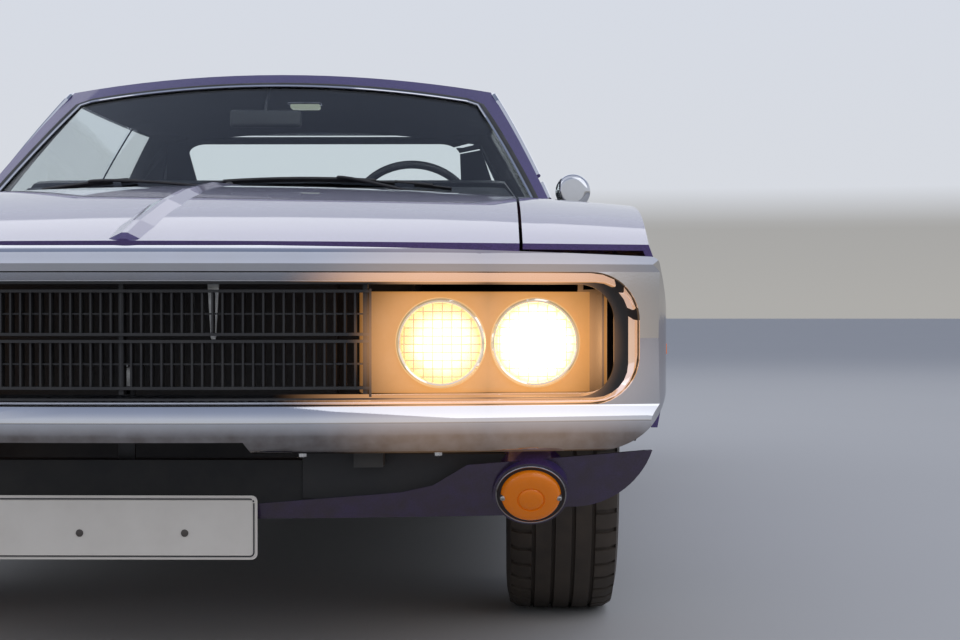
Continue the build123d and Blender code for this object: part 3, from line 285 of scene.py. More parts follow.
# One row per finish: colour, dusty colour, mottle scale and amount, metal, roughness, coat, grain scale, grain depth
finishes = {
    "chrome": ((0.60, 0.61, 0.64), (0.54, 0.53, 0.52), 14, 0.25, 1.0, 0.045, 0.0, 260, 0.000012),
    "satinChrome": ((0.62, 0.62, 0.63), (0.5, 0.49, 0.47), 20, 0.4, 1.0, 0.24, 0.0, 900, 0.00005),
    "blackSteel": ((0.012, 0.012, 0.014), (0.055, 0.052, 0.048), 9, 0.5, 0.0, 0.48, 0.0, 700, 0.0001),
    "gritBlack": ((0.020, 0.020, 0.021), (0.07, 0.065, 0.058), 5, 0.7, 0.0, 0.72, 0.0, 420, 0.0003),
    "blackVinyl": ((0.012, 0.012, 0.013), (0.035, 0.034, 0.033), 12, 0.4, 0.0, 0.44, 0.0, 620, 0.00035),
    "seatVinyl": ((0.016, 0.016, 0.018), (0.040, 0.038, 0.037), 10, 0.4, 0.0, 0.38, 0.0, 480, 0.00035),
    "engineIron": ((0.35, 0.07, 0.02), (0.12, 0.08, 0.06), 8, 0.6, 0.1, 0.5, 0.0, 300, 0.0003),
    "pipeSteel": ((0.26, 0.25, 0.24), (0.20, 0.13, 0.08), 11, 0.6, 0.9, 0.42, 0.0, 350, 0.0002),
    "wheelSilver": ((0.55, 0.55, 0.56), (0.36, 0.34, 0.31), 12, 0.3, 0.9, 0.26, 0.3, 800, 0.00003),
    "rubber": ((0.038, 0.030, 0.024), (0.092, 0.072, 0.055), 9, 0.6, 0.0, 0.70, 0.0, 520, 0.0003),
    "sealRubber": ((0.010, 0.010, 0.010), (0.030, 0.029, 0.028), 16, 0.4, 0.0, 0.55, 0.0, 900, 0.0001),
    "carpet": ((0.018, 0.018, 0.020), (0.05, 0.05, 0.05), 30, 0.6, 0.0, 0.95, 0.0, 900, 0.0012),
    "headliner": ((0.030, 0.030, 0.032), (0.05, 0.05, 0.05), 14, 0.4, 0.0, 0.80, 0.0, 1100, 0.0004),
    "capBrown": ((0.050, 0.040, 0.034), (0.10, 0.085, 0.07), 40, 0.4, 0.0, 0.42, 0.0, 700, 0.0001),
    "plateWhite": ((0.60, 0.560, 0.505), (0.47, 0.430, 0.380), 11, 0.35, 0.0, 0.32, 0.3, 500, 0.00005),
    # warm grey board colour chosen to carry a painted warm glow from the headlamps
    "bayBronze": ((0.34, 0.29, 0.23), (0.22, 0.18, 0.14), 12, 0.5, 0.35, 0.40, 0.0, 600, 0.0001),
    # the lit finishes below are copies that carry a painted warm glow near the headlamps, added further on
    "litChrome": ((0.60, 0.61, 0.64), (0.54, 0.53, 0.52), 14, 0.25, 1.0, 0.045, 0.0, 260, 0.000012),
    "litGrille": ((0.012, 0.012, 0.014), (0.055, 0.052, 0.048), 9, 0.5, 0.0, 0.48, 0.0, 700, 0.0001),
    "litBezel": ((0.60, 0.61, 0.64), (0.54, 0.53, 0.52), 14, 0.25, 1.0, 0.075, 0.0, 260, 0.000012),
    "litRing": ((0.60, 0.60, 0.60), (0.54, 0.53, 0.52), 14, 0.25, 1.0, 0.06, 0.0, 260, 0.000012),
    "domeLens": ((0.70, 0.74, 0.66), (0.60, 0.62, 0.55), 30, 0.3, 0.0, 0.30, 0.0, 500, 0.0001),
    "boltZinc": ((0.72, 0.72, 0.70), (0.50, 0.48, 0.44), 50, 0.5, 1.0, 0.30, 0.0, 900, 0.0001),
    "screwSteel": ((0.52, 0.51, 0.49), (0.34, 0.30, 0.26), 60, 0.6, 1.0, 0.32, 0.0, 900, 0.0001),
}
# chrome darkened low down with dust and painted shade, standing in for its dull reflection of the ground
dustAndShadeFinishes = {"names": ("chrome", "litChrome"), "colour": (0.115, 0.085, 0.070), "most": 0.80}


def addBump(tree, shader, height, depth):
    bump = addNode(tree, "Bump", {"Distance": depth, "Strength": 0.8, "Height": height})
    feed(tree, shader, {"Normal": bump.outputs["Normal"]})


def withDustAndShade(tree, colour, colourFrom, most):
    # a dull brown film of dust and painted shade, mixed over the finish's own colour
    dustAndShade = addNode(tree, "Group", {"Most": most}, node_tree=dustAndPaintedShade)
    mix = addNode(tree, "Mix", {"Factor": dustAndShade.outputs["Mask"], "A": colourFrom, "B": (*colour, 1)}, data_type="RGBA")
    return mix.outputs["Result"]


def makeFinish(name):
    clean, dusty, scale, amount, metal, roughness, coat, grainScale, depth = finishes[name]
    material, tree, shader = newMaterial(name)
    mottled = addNode(tree, "Group", {"Clean": (*clean, 1), "Dusty": (*dusty, 1), "Scale": scale, "Amount": amount},
                      node_tree=mottle)
    colour = mottled.outputs["Color"]
    if name in dustAndShadeFinishes["names"]:
        colour = withDustAndShade(tree, dustAndShadeFinishes["colour"], colour, dustAndShadeFinishes["most"])
    rough = addNode(tree, "MapRange", {"Value": mottled.outputs["Mask"], "To Min": roughness,
                                       "To Max": min(1.0, roughness * 1.7 + 0.04)})
    pebbles = addNode(tree, "Group", {"Scale": grainScale}, node_tree=grain)
    feed(tree, shader, {"Metallic": metal, "Coat Weight": coat, "Base Color": colour,
                        "Roughness": rough.outputs["Result"]})
    addBump(tree, shader, pebbles.outputs["Height"], depth)
    return material


materials = {name: makeFinish(name) for name in finishes}

paintFinish = {
    "deep": (0.021, 0.008, 0.074, 1),
    "bright": (0.074, 0.038, 0.200, 1),
    "flakeScale": 620,
    "flakeDepth": 0.00004,
    "metallic": 0.45,
    "roughness": 0.34,
    "coatRoughness": 0.03,
    # dark brown painted shade on low, downward faces such as the valance, with some dust
    "dustAndShade": (0.030, 0.016, 0.013),
    "dustAndShadeMost": 0.85,
}


def makePaint(s):
    material, tree, shader = newMaterial("plumLacquer")
    look = {"Deep": s["deep"], "Bright": s["bright"], "Scale": s["flakeScale"]}
    flakes = addNode(tree, "Group", look, node_tree=flake)
    feed(tree, shader, {
        "Metallic": s["metallic"],
        "Roughness": s["roughness"],
        "Coat Weight": 1.0,
        "Coat Roughness": s["coatRoughness"],
        "Base Color": withDustAndShade(tree, s["dustAndShade"], flakes.outputs["Color"], s["dustAndShadeMost"]),
    })
    addBump(tree, shader, flakes.outputs["Height"], s["flakeDepth"])
    return material


# Clear and coloured lenses: colour, roughness, bending, light from inside (colour, strength), ripple scale and depth
lensFinishes = {
    "cabinGlass": ((0.955, 1.0, 0.985), 0.0, 1.27, None, 3, 0.00002),
    "amberLens": ((0.95, 0.24, 0.006), 0.12, 1.45, ((1.0, 0.24, 0.0), 0.10), 160, 0.0004),
    "redLens": ((0.75, 0.012, 0.012), 0.10, 1.45, ((0.8, 0.01, 0.01), 0.08), 160, 0.0004),
    "lampLens": ((1.0, 0.98, 0.94), 0.02, 1.45, None, 90, 0.0002),
}


def makeLens(name):
    colour, roughness, bending, glow, scale, depth = lensFinishes[name]
    material, tree, shader = newMaterial(name)
    feed(tree, shader, {"Base Color": (*colour, 1), "Roughness": roughness, "IOR": bending,
                        "Transmission Weight": 0.35 if glow else 1.0})
    if glow:
        feed(tree, shader, {"Emission Color": (*glow[0], 1), "Emission Strength": glow[1]})
    ripple = addNode(tree, "Group", {"Scale": scale, "Softness": 0.2 if glow else 1.0}, node_tree=grain)
    addBump(tree, shader, ripple.outputs["Height"], depth)
    return material


materials["plumLacquer"] = makePaint(paintFinish)
for lensName in lensFinishes:
    materials[lensName] = makeLens(lensName)
print("finishes made:", len(materials))

# Which finish each CAD node wears; a star stands for both sides
nodeFinishes = {
    "plumLacquer": "hood fender_* door_* roof cowl quarter_panel_* sill_* rear_shelf trunk_lid tail_panel "
                   "front_valance",
    # front bumper, grille and headlamp doors wear finishes with a painted warm glow near the lamps
    "litChrome": "front_bumper",
    "chrome": "rear_bumper mirror_*",
    "cabinGlass": "windshield backlight door_glass_* quarter_glass_*",
    "litGrille": "grille headlamp_door_*",
    "blackSteel": "radiator",
    "gritBlack": "underbody rear_axle front_crossmember driveline fuel_tank knuckle_*",
    "blackVinyl": "dashboard steering_wheel",
    "seatVinyl": "front_seats rear_seat",
    "engineIron": "engine",
    "pipeSteel": "exhaust",
    "wheelSilver": "wheel_front_* wheel_rear_*",
    "rubber": "tyre_front_* tyre_rear_*",
    "amberLens": "turn_signals",
    "redLens": "tail_lamps",
    "lampLens": "headlamps",
}


def bothSides(names):
    for name in names.split():
        yield from sorted({name.replace("*", sideName) for sideName in sideNames.values()})


for finishName, nodeNames in nodeFinishes.items():
    for nodeName in bothSides(nodeNames):
        if not nodes[nodeName].material_slots:
            nodes[nodeName].data.materials.append(materials[finishName])
        for slot in nodes[nodeName].material_slots:
            slot.material = materials[finishName]
print("nodes finished")

# The record's material slot that each finish belongs to
slotOfFinish = {
    "bright_trim": "chrome satinChrome litBezel litRing",
    "black_vinyl": "blackVinyl sealRubber headliner carpet",
    "black_steel": "blackSteel bayBronze",
    "clear_glass": "litLens_inner litLens_outer",
    "amber_lens": "amberLens",
    "red_lens": "redLens",
    "tyre_rubber": "rubber",
    "body_paint": "plumLacquer",
    "seat_vinyl": "seatVinyl",
    "engine_iron": "engineIron",
}


def ownSlot(finish):
    return next((slot for slot, names in slotOfFinish.items() if finish in names.split()), None)


# Modelling helpers, each a thing done by hand in edit mode
def pickOnly(piece):
    bpy.ops.object.select_all(action="DESELECT")
    piece.select_set(True)
    bpy.context.view_layer.objects.active = piece


def chooseFaces(piece, test):
    bpy.ops.mesh.select_mode(type="FACE")
    mesh = bmesh.from_edit_mesh(piece.data)
    for face in mesh.faces:
        face.select_set(bool(test(face.calc_center_median(), face.normal)))
    bmesh.update_edit_mesh(piece.data)


def applyModifier(piece, kind, **values):
    pickOnly(piece)
    modifier = piece.modifiers.new(kind.lower(), kind)
    for key, value in values.items():
        setattr(modifier, key, value)
    bpy.ops.object.modifier_apply(modifier=modifier.name)


def cutAway(piece, cutter):
    applyModifier(piece, "BOOLEAN", operation="DIFFERENCE", object=cutter, solver="EXACT")
    bpy.data.objects.remove(cutter)


def settle(piece, name, finish, body="car_body", smooth=35, standsFor=(), slot="own"):
    # name, finish, shading and body of a finished piece; its place goes into its mesh
    piece.name = name
    piece.data.name = name
    pickOnly(piece)
    bpy.ops.object.transform_apply(location=True, rotation=True, scale=True)
    piece.data.materials.clear()
    piece.data.materials.append(materials[finish])
    bpy.ops.object.shade_smooth_by_angle(angle=radians(smooth))
    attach(piece, body)
    if standsFor:
        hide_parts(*standsFor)
    slotName = ownSlot(finish) if slot == "own" else slot
    if slotName:
        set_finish(piece, slotName)
    return piece


def roundedBlock(size, place, bevel, segments=3, turn=(0, 0, 0)):
    # a block with rounded edges, its middle at place
    bpy.ops.object.select_all(action="DESELECT")
    bpy.ops.mesh.primitive_cube_add(size=1, location=place, rotation=turn)
    block = bpy.context.object
    block.scale = size
    bpy.ops.object.transform_apply(location=False, rotation=False, scale=True)
    bpy.ops.object.mode_set(mode="EDIT")
    bpy.ops.mesh.select_all(action="SELECT")
    bpy.ops.mesh.bevel(offset=bevel, segments=segments, affect="EDGES")
    bpy.ops.object.mode_set(mode="OBJECT")
    return block


def drawLine(points, closed=False):
    # a run of edges, drawn by extruding one point again and again
    bpy.ops.object.select_all(action="DESELECT")
    bpy.ops.mesh.primitive_plane_add(size=0.01)
    line = bpy.context.object
    bpy.ops.object.mode_set(mode="EDIT")
    bpy.ops.mesh.select_mode(type="VERT")
    bpy.ops.mesh.select_all(action="SELECT")
    bpy.ops.mesh.merge(type="CENTER")
    bpy.ops.transform.translate(value=Vector(points[0]))
    for start, end in zip(points, points[1:]):
        bpy.ops.mesh.extrude_vertices_move(TRANSFORM_OT_translate={"value": Vector(end) - Vector(start)})
    if closed:
        bpy.ops.mesh.select_all(action="SELECT")
        mesh = bmesh.from_edit_mesh(line.data)
        loose = [v for v in mesh.verts if len(v.link_edges) == 1]
        for vert in mesh.verts:
            vert.select_set(vert in loose)
        bpy.ops.mesh.edge_face_add()
        bpy.ops.mesh.select_all(action="SELECT")
        bpy.ops.mesh.delete(type="ONLY_FACE")
    bpy.ops.object.mode_set(mode="OBJECT")
    return line


def turned(profile, centre, axis, steps=64, closed=False):
    # a profile of (distance along the axis, radius) points spun round the axis
    axis = Vector(axis).normalized()
    outward = axis.orthogonal().normalized()
    piece = drawLine([Vector(centre) + axis * along + outward * radius for along, radius in profile], closed)
    bpy.ops.object.mode_set(mode="EDIT")
    bpy.ops.mesh.select_all(action="SELECT")
    bpy.ops.mesh.spin(steps=steps, angle=2 * pi, center=centre, axis=axis)
    bpy.ops.object.mode_set(mode="OBJECT")
    weld(piece, 0.00002)
    return piece


def tubeAlong(points, radius):
    # a round bar along a line of points
    piece = drawLine(points)
    pickOnly(piece)
    bpy.ops.object.convert(target="CURVE")
    curve = piece.data
    for spline in curve.splines:
        spline.type = "NURBS"
        spline.order_u = 3
        spline.use_endpoint_u = True
        spline.resolution_u = 6
    curve.bevel_depth = radius
    curve.bevel_resolution = 3
    curve.use_fill_caps = True
    bpy.ops.object.convert(target="MESH")
    return bpy.context.object


def flipped(piece):
    # a finished mesh carried over to the car's right side
    piece.data.transform(Matrix.Scale(-1, 4, (1, 0, 0)))
    piece.data.flip_normals()


def copied(piece):
    # the same piece with its own mesh, free of what was said of the first
    pickOnly(piece)
    bpy.ops.object.duplicate(linked=False)
    copy = bpy.context.object
    copy.parent = None
    for key in list(copy.keys()):
        if key.startswith("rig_"):
            del copy[key]
    return copy


def mirrored(piece, name, body, standsFor=()):
    copy = copied(piece)
    flipped(copy)
    copy.name = name
    copy.data.name = name
    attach(copy, body)
    if standsFor:
        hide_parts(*standsFor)
    if "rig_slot" in piece:
        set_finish(copy, piece["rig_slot"])
    return copy


def weld(piece, threshold=0.00001):
    pickOnly(piece)
    bpy.ops.object.mode_set(mode="EDIT")
    bpy.ops.mesh.select_all(action="SELECT")
    bpy.ops.mesh.remove_doubles(threshold=threshold)
    bpy.ops.mesh.normals_make_consistent(inside=False)
    bpy.ops.object.mode_set(mode="OBJECT")


def joined(pieces):
    bpy.ops.object.select_all(action="DESELECT")
    for piece in pieces:
        piece.select_set(True)
    bpy.context.view_layer.objects.active = pieces[0]
    bpy.ops.object.join()
    return pieces[0]


# Tyres with ribs, grooves and shoulder blocks
tyreShape = {
    "radius": 0.335,
    "halfWidth": 0.116,
    "bead": 0.182,
    "steps": 192,
    "grooveDepth": 0.008,
    "grooves": (-0.061, -0.0205, 0.0205, 0.061),
    "grooveHalf": 0.0042,
    "shoulder": (0.067, 0.0145),  # distance from the middle, depth below the crown
    "cutEvery": 4,
    "cutDepth": 0.006,
}


def addTyre(s, corner, x, place):
    centre = Vector((x, placeY(place), carPlan["wheelHeight"]))
    r, half, depth = s["radius"], s["halfWidth"], s["grooveDepth"]
    crown = [(-half + 0.024, r - 0.0035)]
    for groove in s["grooves"]:
        drop = 0.0022 * (groove / half) ** 2
        crown += [(groove - s["grooveHalf"], r - drop - 0.0003), (groove - s["grooveHalf"] + 0.0016, r - depth),
                  (groove + s["grooveHalf"] - 0.0016, r - depth), (groove + s["grooveHalf"], r - drop - 0.0003)]
    crown += [(half - 0.024, r - 0.0035)]
    side = [(half - 0.008, r - 0.013), (half - 0.0065, r - 0.022), (half - 0.0015, r - 0.045), (half, r - 0.070),
            (half - 0.0005, r - 0.092), (half - 0.0035, r - 0.1115), (half - 0.0025, r - 0.114),
            (half - 0.0065, r - 0.122), (half - 0.016, r - 0.141), (half - 0.026, r - 0.1495),
            (half - 0.030, s["bead"]), (half - 0.045, s["bead"] - 0.0033)]
    profile = [(-a, b) for a, b in reversed(side)] + crown + side
    tyre = turned(profile, centre, (1, 0, 0), s["steps"], closed=True)
    bpy.ops.object.mode_set(mode="EDIT")

    def inGap(middle, normal):
        # cross cuts through the two shoulders
        away = middle - centre
        if hypot(away.y, away.z) < r - s["shoulder"][1] or abs(away.x) < s["shoulder"][0]:
            return False
        return int((atan2(away.z, away.y) / (2 * pi) * s["steps"]) % s["steps"]) % s["cutEvery"] == 0

    chooseFaces(tyre, inGap)
    bpy.ops.mesh.inset(thickness=0.0006, depth=-s["cutDepth"])
    bpy.ops.object.mode_set(mode="OBJECT")
    settle(tyre, "treadTyre_" + corner, "rubber", "wheel_" + corner, smooth=30, standsFor=["tyre_" + corner])


for end, (halfTrack, place) in carPlan["axles"].items():
    for side, sideName in sideNames.items():
        addTyre(tyreShape, f"{end}_{sideName}", side * halfTrack, place)
print("tyres made")

# Number plate, left blank, on the valance's two tabs
plateShape = {
    "width": 0.472,
    "height": 0.110,
    "middle": (-0.006, 0.2820),
    "place": 0.0830,
    "thick": 0.0022,
    "insets": [(0.00315, 0), (0.0006, 1), (0.0040, 0), (0.0008, -1)],  # width, share of the rise
    "rise": 0.0012,
    "corner": 0.010,
    "lineInset": 0.0058,
    "capsAt": (-0.076, 0.105),
    "capsDrop": 0.0095,
    "postLength": 0.0146,
    "postAt": 0.089,
    "postUp": -0.014,
}


def addPlate(s):
    y = placeY(s["place"])
    bpy.ops.object.select_all(action="DESELECT")
    bpy.ops.mesh.primitive_plane_add(size=1, location=(s["middle"][0], y, s["middle"][1]), rotation=(pi / 2, 0, 0))
    plate = bpy.context.object
    plate.scale = (s["width"], s["height"], 1)
    bpy.ops.object.transform_apply(location=False, rotation=True, scale=True)
    bpy.ops.object.mode_set(mode="EDIT")
    bpy.ops.mesh.select_all(action="SELECT")
    bpy.ops.mesh.bevel(offset=s["corner"], segments=6, affect="VERTICES")
    bpy.ops.mesh.select_all(action="SELECT")
    for width, share in s["insets"]:
        bpy.ops.mesh.inset(thickness=width, depth=share * s["rise"])
    bpy.ops.object.mode_set(mode="OBJECT")
    applyModifier(plate, "SOLIDIFY", thickness=s["thick"], offset=-1)
    settle(plate, "front_plate", "plateWhite")
    frameRing = roundedBlock((s["width"] - 0.004, 0.006, s["height"] - 0.004),
                             (s["middle"][0], y + 0.0055, s["middle"][1]), 0.0025, 3)
    posts = [frameRing]
    for side in (-1, 1):
        middle = (side * s["postAt"], y + 0.008 + s["postLength"] / 2, s["middle"][1] + s["postUp"])
        posts.append(roundedBlock((0.030, s["postLength"], 0.022), middle, 0.003, 2))
    settle(joined(posts), "front_plate_holder", "blackVinyl", slot=None)
    for x in s["capsAt"]:
        cap = turned([(0, 0), (0, 0.0060), (0.0014, 0.0064), (0.0028, 0.0056), (0.0036, 0.0034), (0.0038, 0)],
                     (x, y + 0.0006, s["middle"][1] - s["capsDrop"]), (0, -1, 0), 24)
        settle(cap, "plate_cap_" + ("left" if x > 0 else "right"), "capBrown")


addPlate(plateShape)
print("plate made")


def skinned(loops, capStart=False, capEnd=False, closed=True):
    # one line of points after another, each extruded from the last and moved into place
    piece = drawLine(loops[0], closed)
    bpy.ops.object.mode_set(mode="EDIT")
    bpy.ops.mesh.select_mode(type="VERT")
    bpy.ops.mesh.select_all(action="SELECT")
    if capStart:
        bpy.ops.mesh.edge_face_add()
    order = list(range(len(loops[0])))
    for loop in loops[1:]:
        mesh = bmesh.from_edit_mesh(piece.data)
        mesh.verts.ensure_lookup_table()
        for vert in mesh.verts:
            vert.select_set(False)
        for face in mesh.faces:
            face.select_set(False)
        ends = set(order)
        bpy.ops.mesh.select_mode(type="EDGE")
        for edge in mesh.edges:
            pair = {edge.verts[0].index, edge.verts[1].index}
            gap = abs(order.index(edge.verts[0].index) - order.index(edge.verts[1].index)) if pair <= ends else 0
            edge.select_set(pair <= ends and (gap == 1 or (closed and gap == len(order) - 1)))
        bmesh.update_edit_mesh(piece.data)
        bpy.ops.mesh.extrude_edges_move(TRANSFORM_OT_translate={"value": (0, 0, 0)})
        mesh = bmesh.from_edit_mesh(piece.data)
        mesh.verts.ensure_lookup_table()
        old = {index: place for place, index in enumerate(order)}
        order = [0] * len(order)
        for vert in mesh.verts:
            if vert.select:
                for edge in vert.link_edges:
                    partner = edge.other_vert(vert).index
                    if partner in old and not edge.other_vert(vert).select:
                        order[old[partner]] = vert.index
                        vert.co = Vector(loop[old[partner]])
        bmesh.update_edit_mesh(piece.data)
    if capEnd:
        bpy.ops.mesh.edge_face_add()
    bpy.ops.mesh.select_all(action="SELECT")
    bpy.ops.mesh.normals_make_consistent(inside=False)
    bpy.ops.object.mode_set(mode="OBJECT")
    return piece


def roundedCorners(half, low, high, corner, steps):
    # the four corners of a rounded rectangle, each a list of (across, up) points, from the upper right one on
    corners = []
    for across, up, start in ((1, high - corner, 0), (-1, high - corner, 90), (-1, low + corner, 180),
                              (1, low + corner, 270)):
        turns = [radians(start + 90 * step / steps) for step in range(steps + 1)]
        corners.append([(across * (half - corner) + corner * cos(turn), up + corner * sin(turn)) for turn in turns])
    return corners


def noseLoop(half, low, high, corner, depth, steps=6, runs=16):
    # a rounded rectangle seen from the front, lying that far behind the nose's curve
    points = []
    for place, bend in enumerate(roundedCorners(half, low, high, corner, steps)):
        points += bend
        if place in (0, 2):
            (x, z), goal = bend[-1], (corner - half if place == 0 else half - corner)
            points += [(x + (goal - x) * run / runs, z) for run in range(1, runs)]
    return [Vector((x, placeY(sweptBack(x) + depth), z)) for x, z in points]


# Bright bezel that frames the grille and both lamp bays, with a painted warm glow near the lamps
bezelShape = {
    "rings": [  # half-width, low, high, corner radius, depth behind the bumper's face
        (0.8865, 0.4945, 0.7195, 0.082, 0.0480),
        (0.8865, 0.4945, 0.7195, 0.082, 0.0440),
        (0.8830, 0.4960, 0.7080, 0.070, 0.0425),
        (0.8815, 0.4972, 0.7064, 0.068, 0.0412),
        (0.8795, 0.4990, 0.7046, 0.066, 0.0425),
        (0.8700, 0.5035, 0.7030, 0.058, 0.0500),
        (0.8480, 0.5085, 0.7010, 0.050, 0.0610),
        (0.8455, 0.5110, 0.7000, 0.048, 0.0634),
        (0.8462, 0.5103, 0.7007, 0.049, 0.0650),
        (0.8510, 0.5060, 0.7050, 0.053, 0.0652),
    ],
}


def addBezel(s):
    bezel = skinned([noseLoop(*ring) for ring in s["rings"]])
    settle(bezel, "grille_bezel", "litBezel", smooth=40)


addBezel(bezelShape)
print("bezel made")

# Headlamps: bright retaining ring with a painted warm glow, reflector bowl, fluted lens, lit from inside
lampShape = {
    "depth": 0.150,
    "ring": [(-0.004, 0.0705), (-0.0085, 0.0725), (-0.0095, 0.0755), (-0.008, 0.0785), (-0.003, 0.0805),
             (0.004, 0.0808), (0.014, 0.0800)],
    "lens": [(-0.0115, 0.0), (-0.0112, 0.012), (-0.0103, 0.024), (-0.0088, 0.036), (-0.0066, 0.048), (-0.0038, 0.059),
             (-0.0005, 0.067), (0.003, 0.0712), (0.006, 0.0716), (0.006, 0.0700), (0.0035, 0.0690),
             (0.0010, 0.0655), (-0.0010, 0.058), (-0.0036, 0.047), (-0.0060, 0.035), (-0.0080, 0.022),
             (-0.0090, 0.010), (-0.0092, 0.0)],
    "bowl": [(0.0062, 0.0708), (0.012, 0.066), (0.022, 0.058), (0.034, 0.046), (0.044, 0.030), (0.048, 0.014),
             (0.049, 0.0)],
    "bulb": [(0.020, 0.0), (0.0205, 0.004), (0.023, 0.0075), (0.028, 0.009), (0.036, 0.008), (0.046, 0.006)],
    "glow": {"inner": 3.6, "outer": 16.0},
}
fluteLook = {
    "Scale": 1.0,
    "Brick Width": 0.017,
    "Row Height": 0.0145,
    "Mortar Size": 0.0011,
    "Mortar Smooth": 0.6,
    "Color1": (1.0, 0.80, 0.48, 1),
    "Color2": (1.0, 0.66, 0.30, 1),
    "Mortar": (0.36, 0.17, 0.05, 1),
}


def lampFinish(name, strength, place):
    # flutes in rows over a warm light that is hottest in the middle
    material, tree, shader = newMaterial(name)
    turnFlat = addNode(tree, "Mapping", {"Vector": objectPlace(tree), "Rotation": (pi / 2, 0, 0)})
    bricks = addNode(tree, "TexBrick", {**fluteLook, "Vector": turnFlat.outputs["Vector"]}, offset=0.0)
    reach = addNode(tree, "Group", {"Place": place}, node_tree=lampDistance)
    fade = addNode(tree, "MapRange", {"Value": reach.outputs["Distance"], "From Min": 0.018, "From Max": 0.078},
                   interpolation_type="SMOOTHSTEP")
    tint = addNode(tree, "ValToRGB", {"Fac": fade.outputs["Result"]})
    tint.color_ramp.elements[0].color = (1.0, 0.93, 0.80, 1)
    tint.color_ramp.elements[1].color = (0.42, 0.15, 0.02, 1)
    glow = addNode(tree, "Mix", {"Factor": 1.0, "A": bricks.outputs["Color"], "B": tint.outputs["Color"]},
                   data_type="RGBA", blend_type="MULTIPLY")
    feed(tree, shader, {"Base Color": (0.92, 0.90, 0.86, 1), "Roughness": 0.08, "Coat Weight": 0.6,
                        "Emission Color": glow.outputs["Result"], "Emission Strength": strength})
    addBump(tree, shader, bricks.outputs["Fac"], -0.0012)
    return material


for (lampName, lampGlow), lampPlace in zip(lampShape["glow"].items(), carPlan["lampPlaces"]):
    materials["litLens_" + lampName] = lampFinish("litLens_" + lampName, lampGlow, lampPlace)

# Painted warm glow, emission that stands in for the lamps' light on finishes: colour, then (distance from a lamp,
# strength) near and far
glows = {
    "bayBronze": ((1.0, 0.43, 0.10), (0.078, 0.60), (0.175, 0.15)),
    "litBezel": ((1.0, 0.50, 0.22), (0.11, 0.60), (0.30, 0.0)),
    "litGrille": ((1.0, 0.50, 0.22), (0.085, 0.50), (0.160, 0.0)),
    "litChrome": ((1.0, 0.60, 0.32), (0.095, 0.17), (0.27, 0.0)),
    "litRing": ((1.0, 0.72, 0.38), (0.060, 0.55), (0.095, 0.30)),
}


def addGlow(name, colour, near, far):
    # emission that fades with distance from the nearest headlamp: a painted warm glow, not light from the lamps
    tree = materials[name].node_tree
    reaches = [addNode(tree, "Group", {"Place": place}, node_tree=lampDistance).outputs["Distance"]
               for place in carPlan["lampPlaces"]]
    fade = addNode(tree, "MapRange", {"Value": calculate(tree, "MINIMUM", *reaches), "From Min": near[0],
                                      "To Min": near[1], "From Max": far[0], "To Max": far[1]},
                   interpolation_type="SMOOTHSTEP")
    lit = addNode(tree, "VectorMath", {0: colour, "Scale": fade.outputs["Result"]}, operation="SCALE")
    feed(tree, tree.nodes["Principled BSDF"],
         {"Emission Color": lit.outputs["Vector"], "Emission Strength": 1.0})


for finishName, glow in glows.items():
    addGlow(finishName, *glow)


def addLamp(s, place, label, side):
    centre = (side * place, placeY(sweptBack(place) + s["depth"]), carPlan["lampHeight"])
    sideName = sideNames[side]
    name = f"headlamp_{label}_{sideName}"
    for part, finish, steps in (("bowl", "chrome", 48), ("bulb", "satinChrome", 24), ("ring", "litRing", 64)):
        settle(turned(s[part], centre, (0, 1, 0), steps), f"{name}_{part}", finish)
    lens = turned(s["lens"], centre, (0, 1, 0), 64)
    settle(lens, name + "_lens", "litLens_" + label, standsFor=["headlamps"])


for side in sideNames:
    for place, label in zip(carPlan["lampPlaces"], ("inner", "outer")):
        addLamp(lampShape, place, label, side)
print("lamps made")

# Turn signals: amber lens with a raised eye, thin bright ring and two screws
signalShape = {
    "place": (0.700, 0.1421, 0.342),
    "proud": 0.014,
    "tilt": 31,
    "lens": [(-0.010, 0.0525), (0.0, 0.0525), (0.0022, 0.0522), (0.006, 0.0512), (0.0105, 0.049), (0.0135, 0.045),
             (0.0152, 0.038), (0.0160, 0.029), (0.0162, 0.0245), (0.0140, 0.0236), (0.0138, 0.0226), (0.0162, 0.0215),
             (0.0186, 0.0180), (0.0198, 0.011), (0.0202, 0.0)],
    "ring": [(-0.004, 0.0586), (0.0012, 0.0586), (0.0026, 0.0594), (0.0030, 0.0606), (0.0022, 0.0618),
             (-0.004, 0.0622)],
    "seat": [(-0.006, 0.0500), (0.0010, 0.0530), (0.0006, 0.0560), (0.0016, 0.0592), (-0.006, 0.0592)],
    "screwAt": 0.0490,
}


def addSignal(s, side):
    sideName = sideNames[side]
    outward = Vector((0, -cos(radians(s["tilt"])), -sin(radians(s["tilt"]))))
    centre = Vector((side * s["place"][0], placeY(s["place"][1]), s["place"][2])) + outward * s["proud"]
    settle(turned(s["lens"], centre, outward, 72), "signal_lens_" + sideName, "amberLens", smooth=50,
           standsFor=["turn_signals"])
    settle(turned(s["ring"], centre, outward, 72), "signal_ring_" + sideName, "chrome")
    settle(turned(s["seat"], centre, outward, 72, True), "signal_seat_" + sideName, "sealRubber")
    for end in (-1, 1):
        seat = centre + Vector((end * s["screwAt"], 0, 0)) + outward * 0.0095
        screw = turned([(-0.004, 0.0048), (0.0030, 0.0048), (0.0044, 0.0036), (0.0048, 0.0012), (0.0030, 0.0010),
                        (0.0030, 0.0)], seat, outward, 20)
        settle(screw, f"signal_screw_{sideName}_{'outer' if end > 0 else 'inner'}", "screwSteel")


for side in sideNames:
    addSignal(signalShape, side)
print("turn signals made")


def touch(nodeName, start, direction, reach=3.0):
    # where a straight line first meets a CAD piece, and the way that face looks
    met, place, normal, face = nodes[nodeName].ray_cast(Vector(start), Vector(direction).normalized(),
                                                        distance=reach)
    return (place, normal) if met else (None, None)


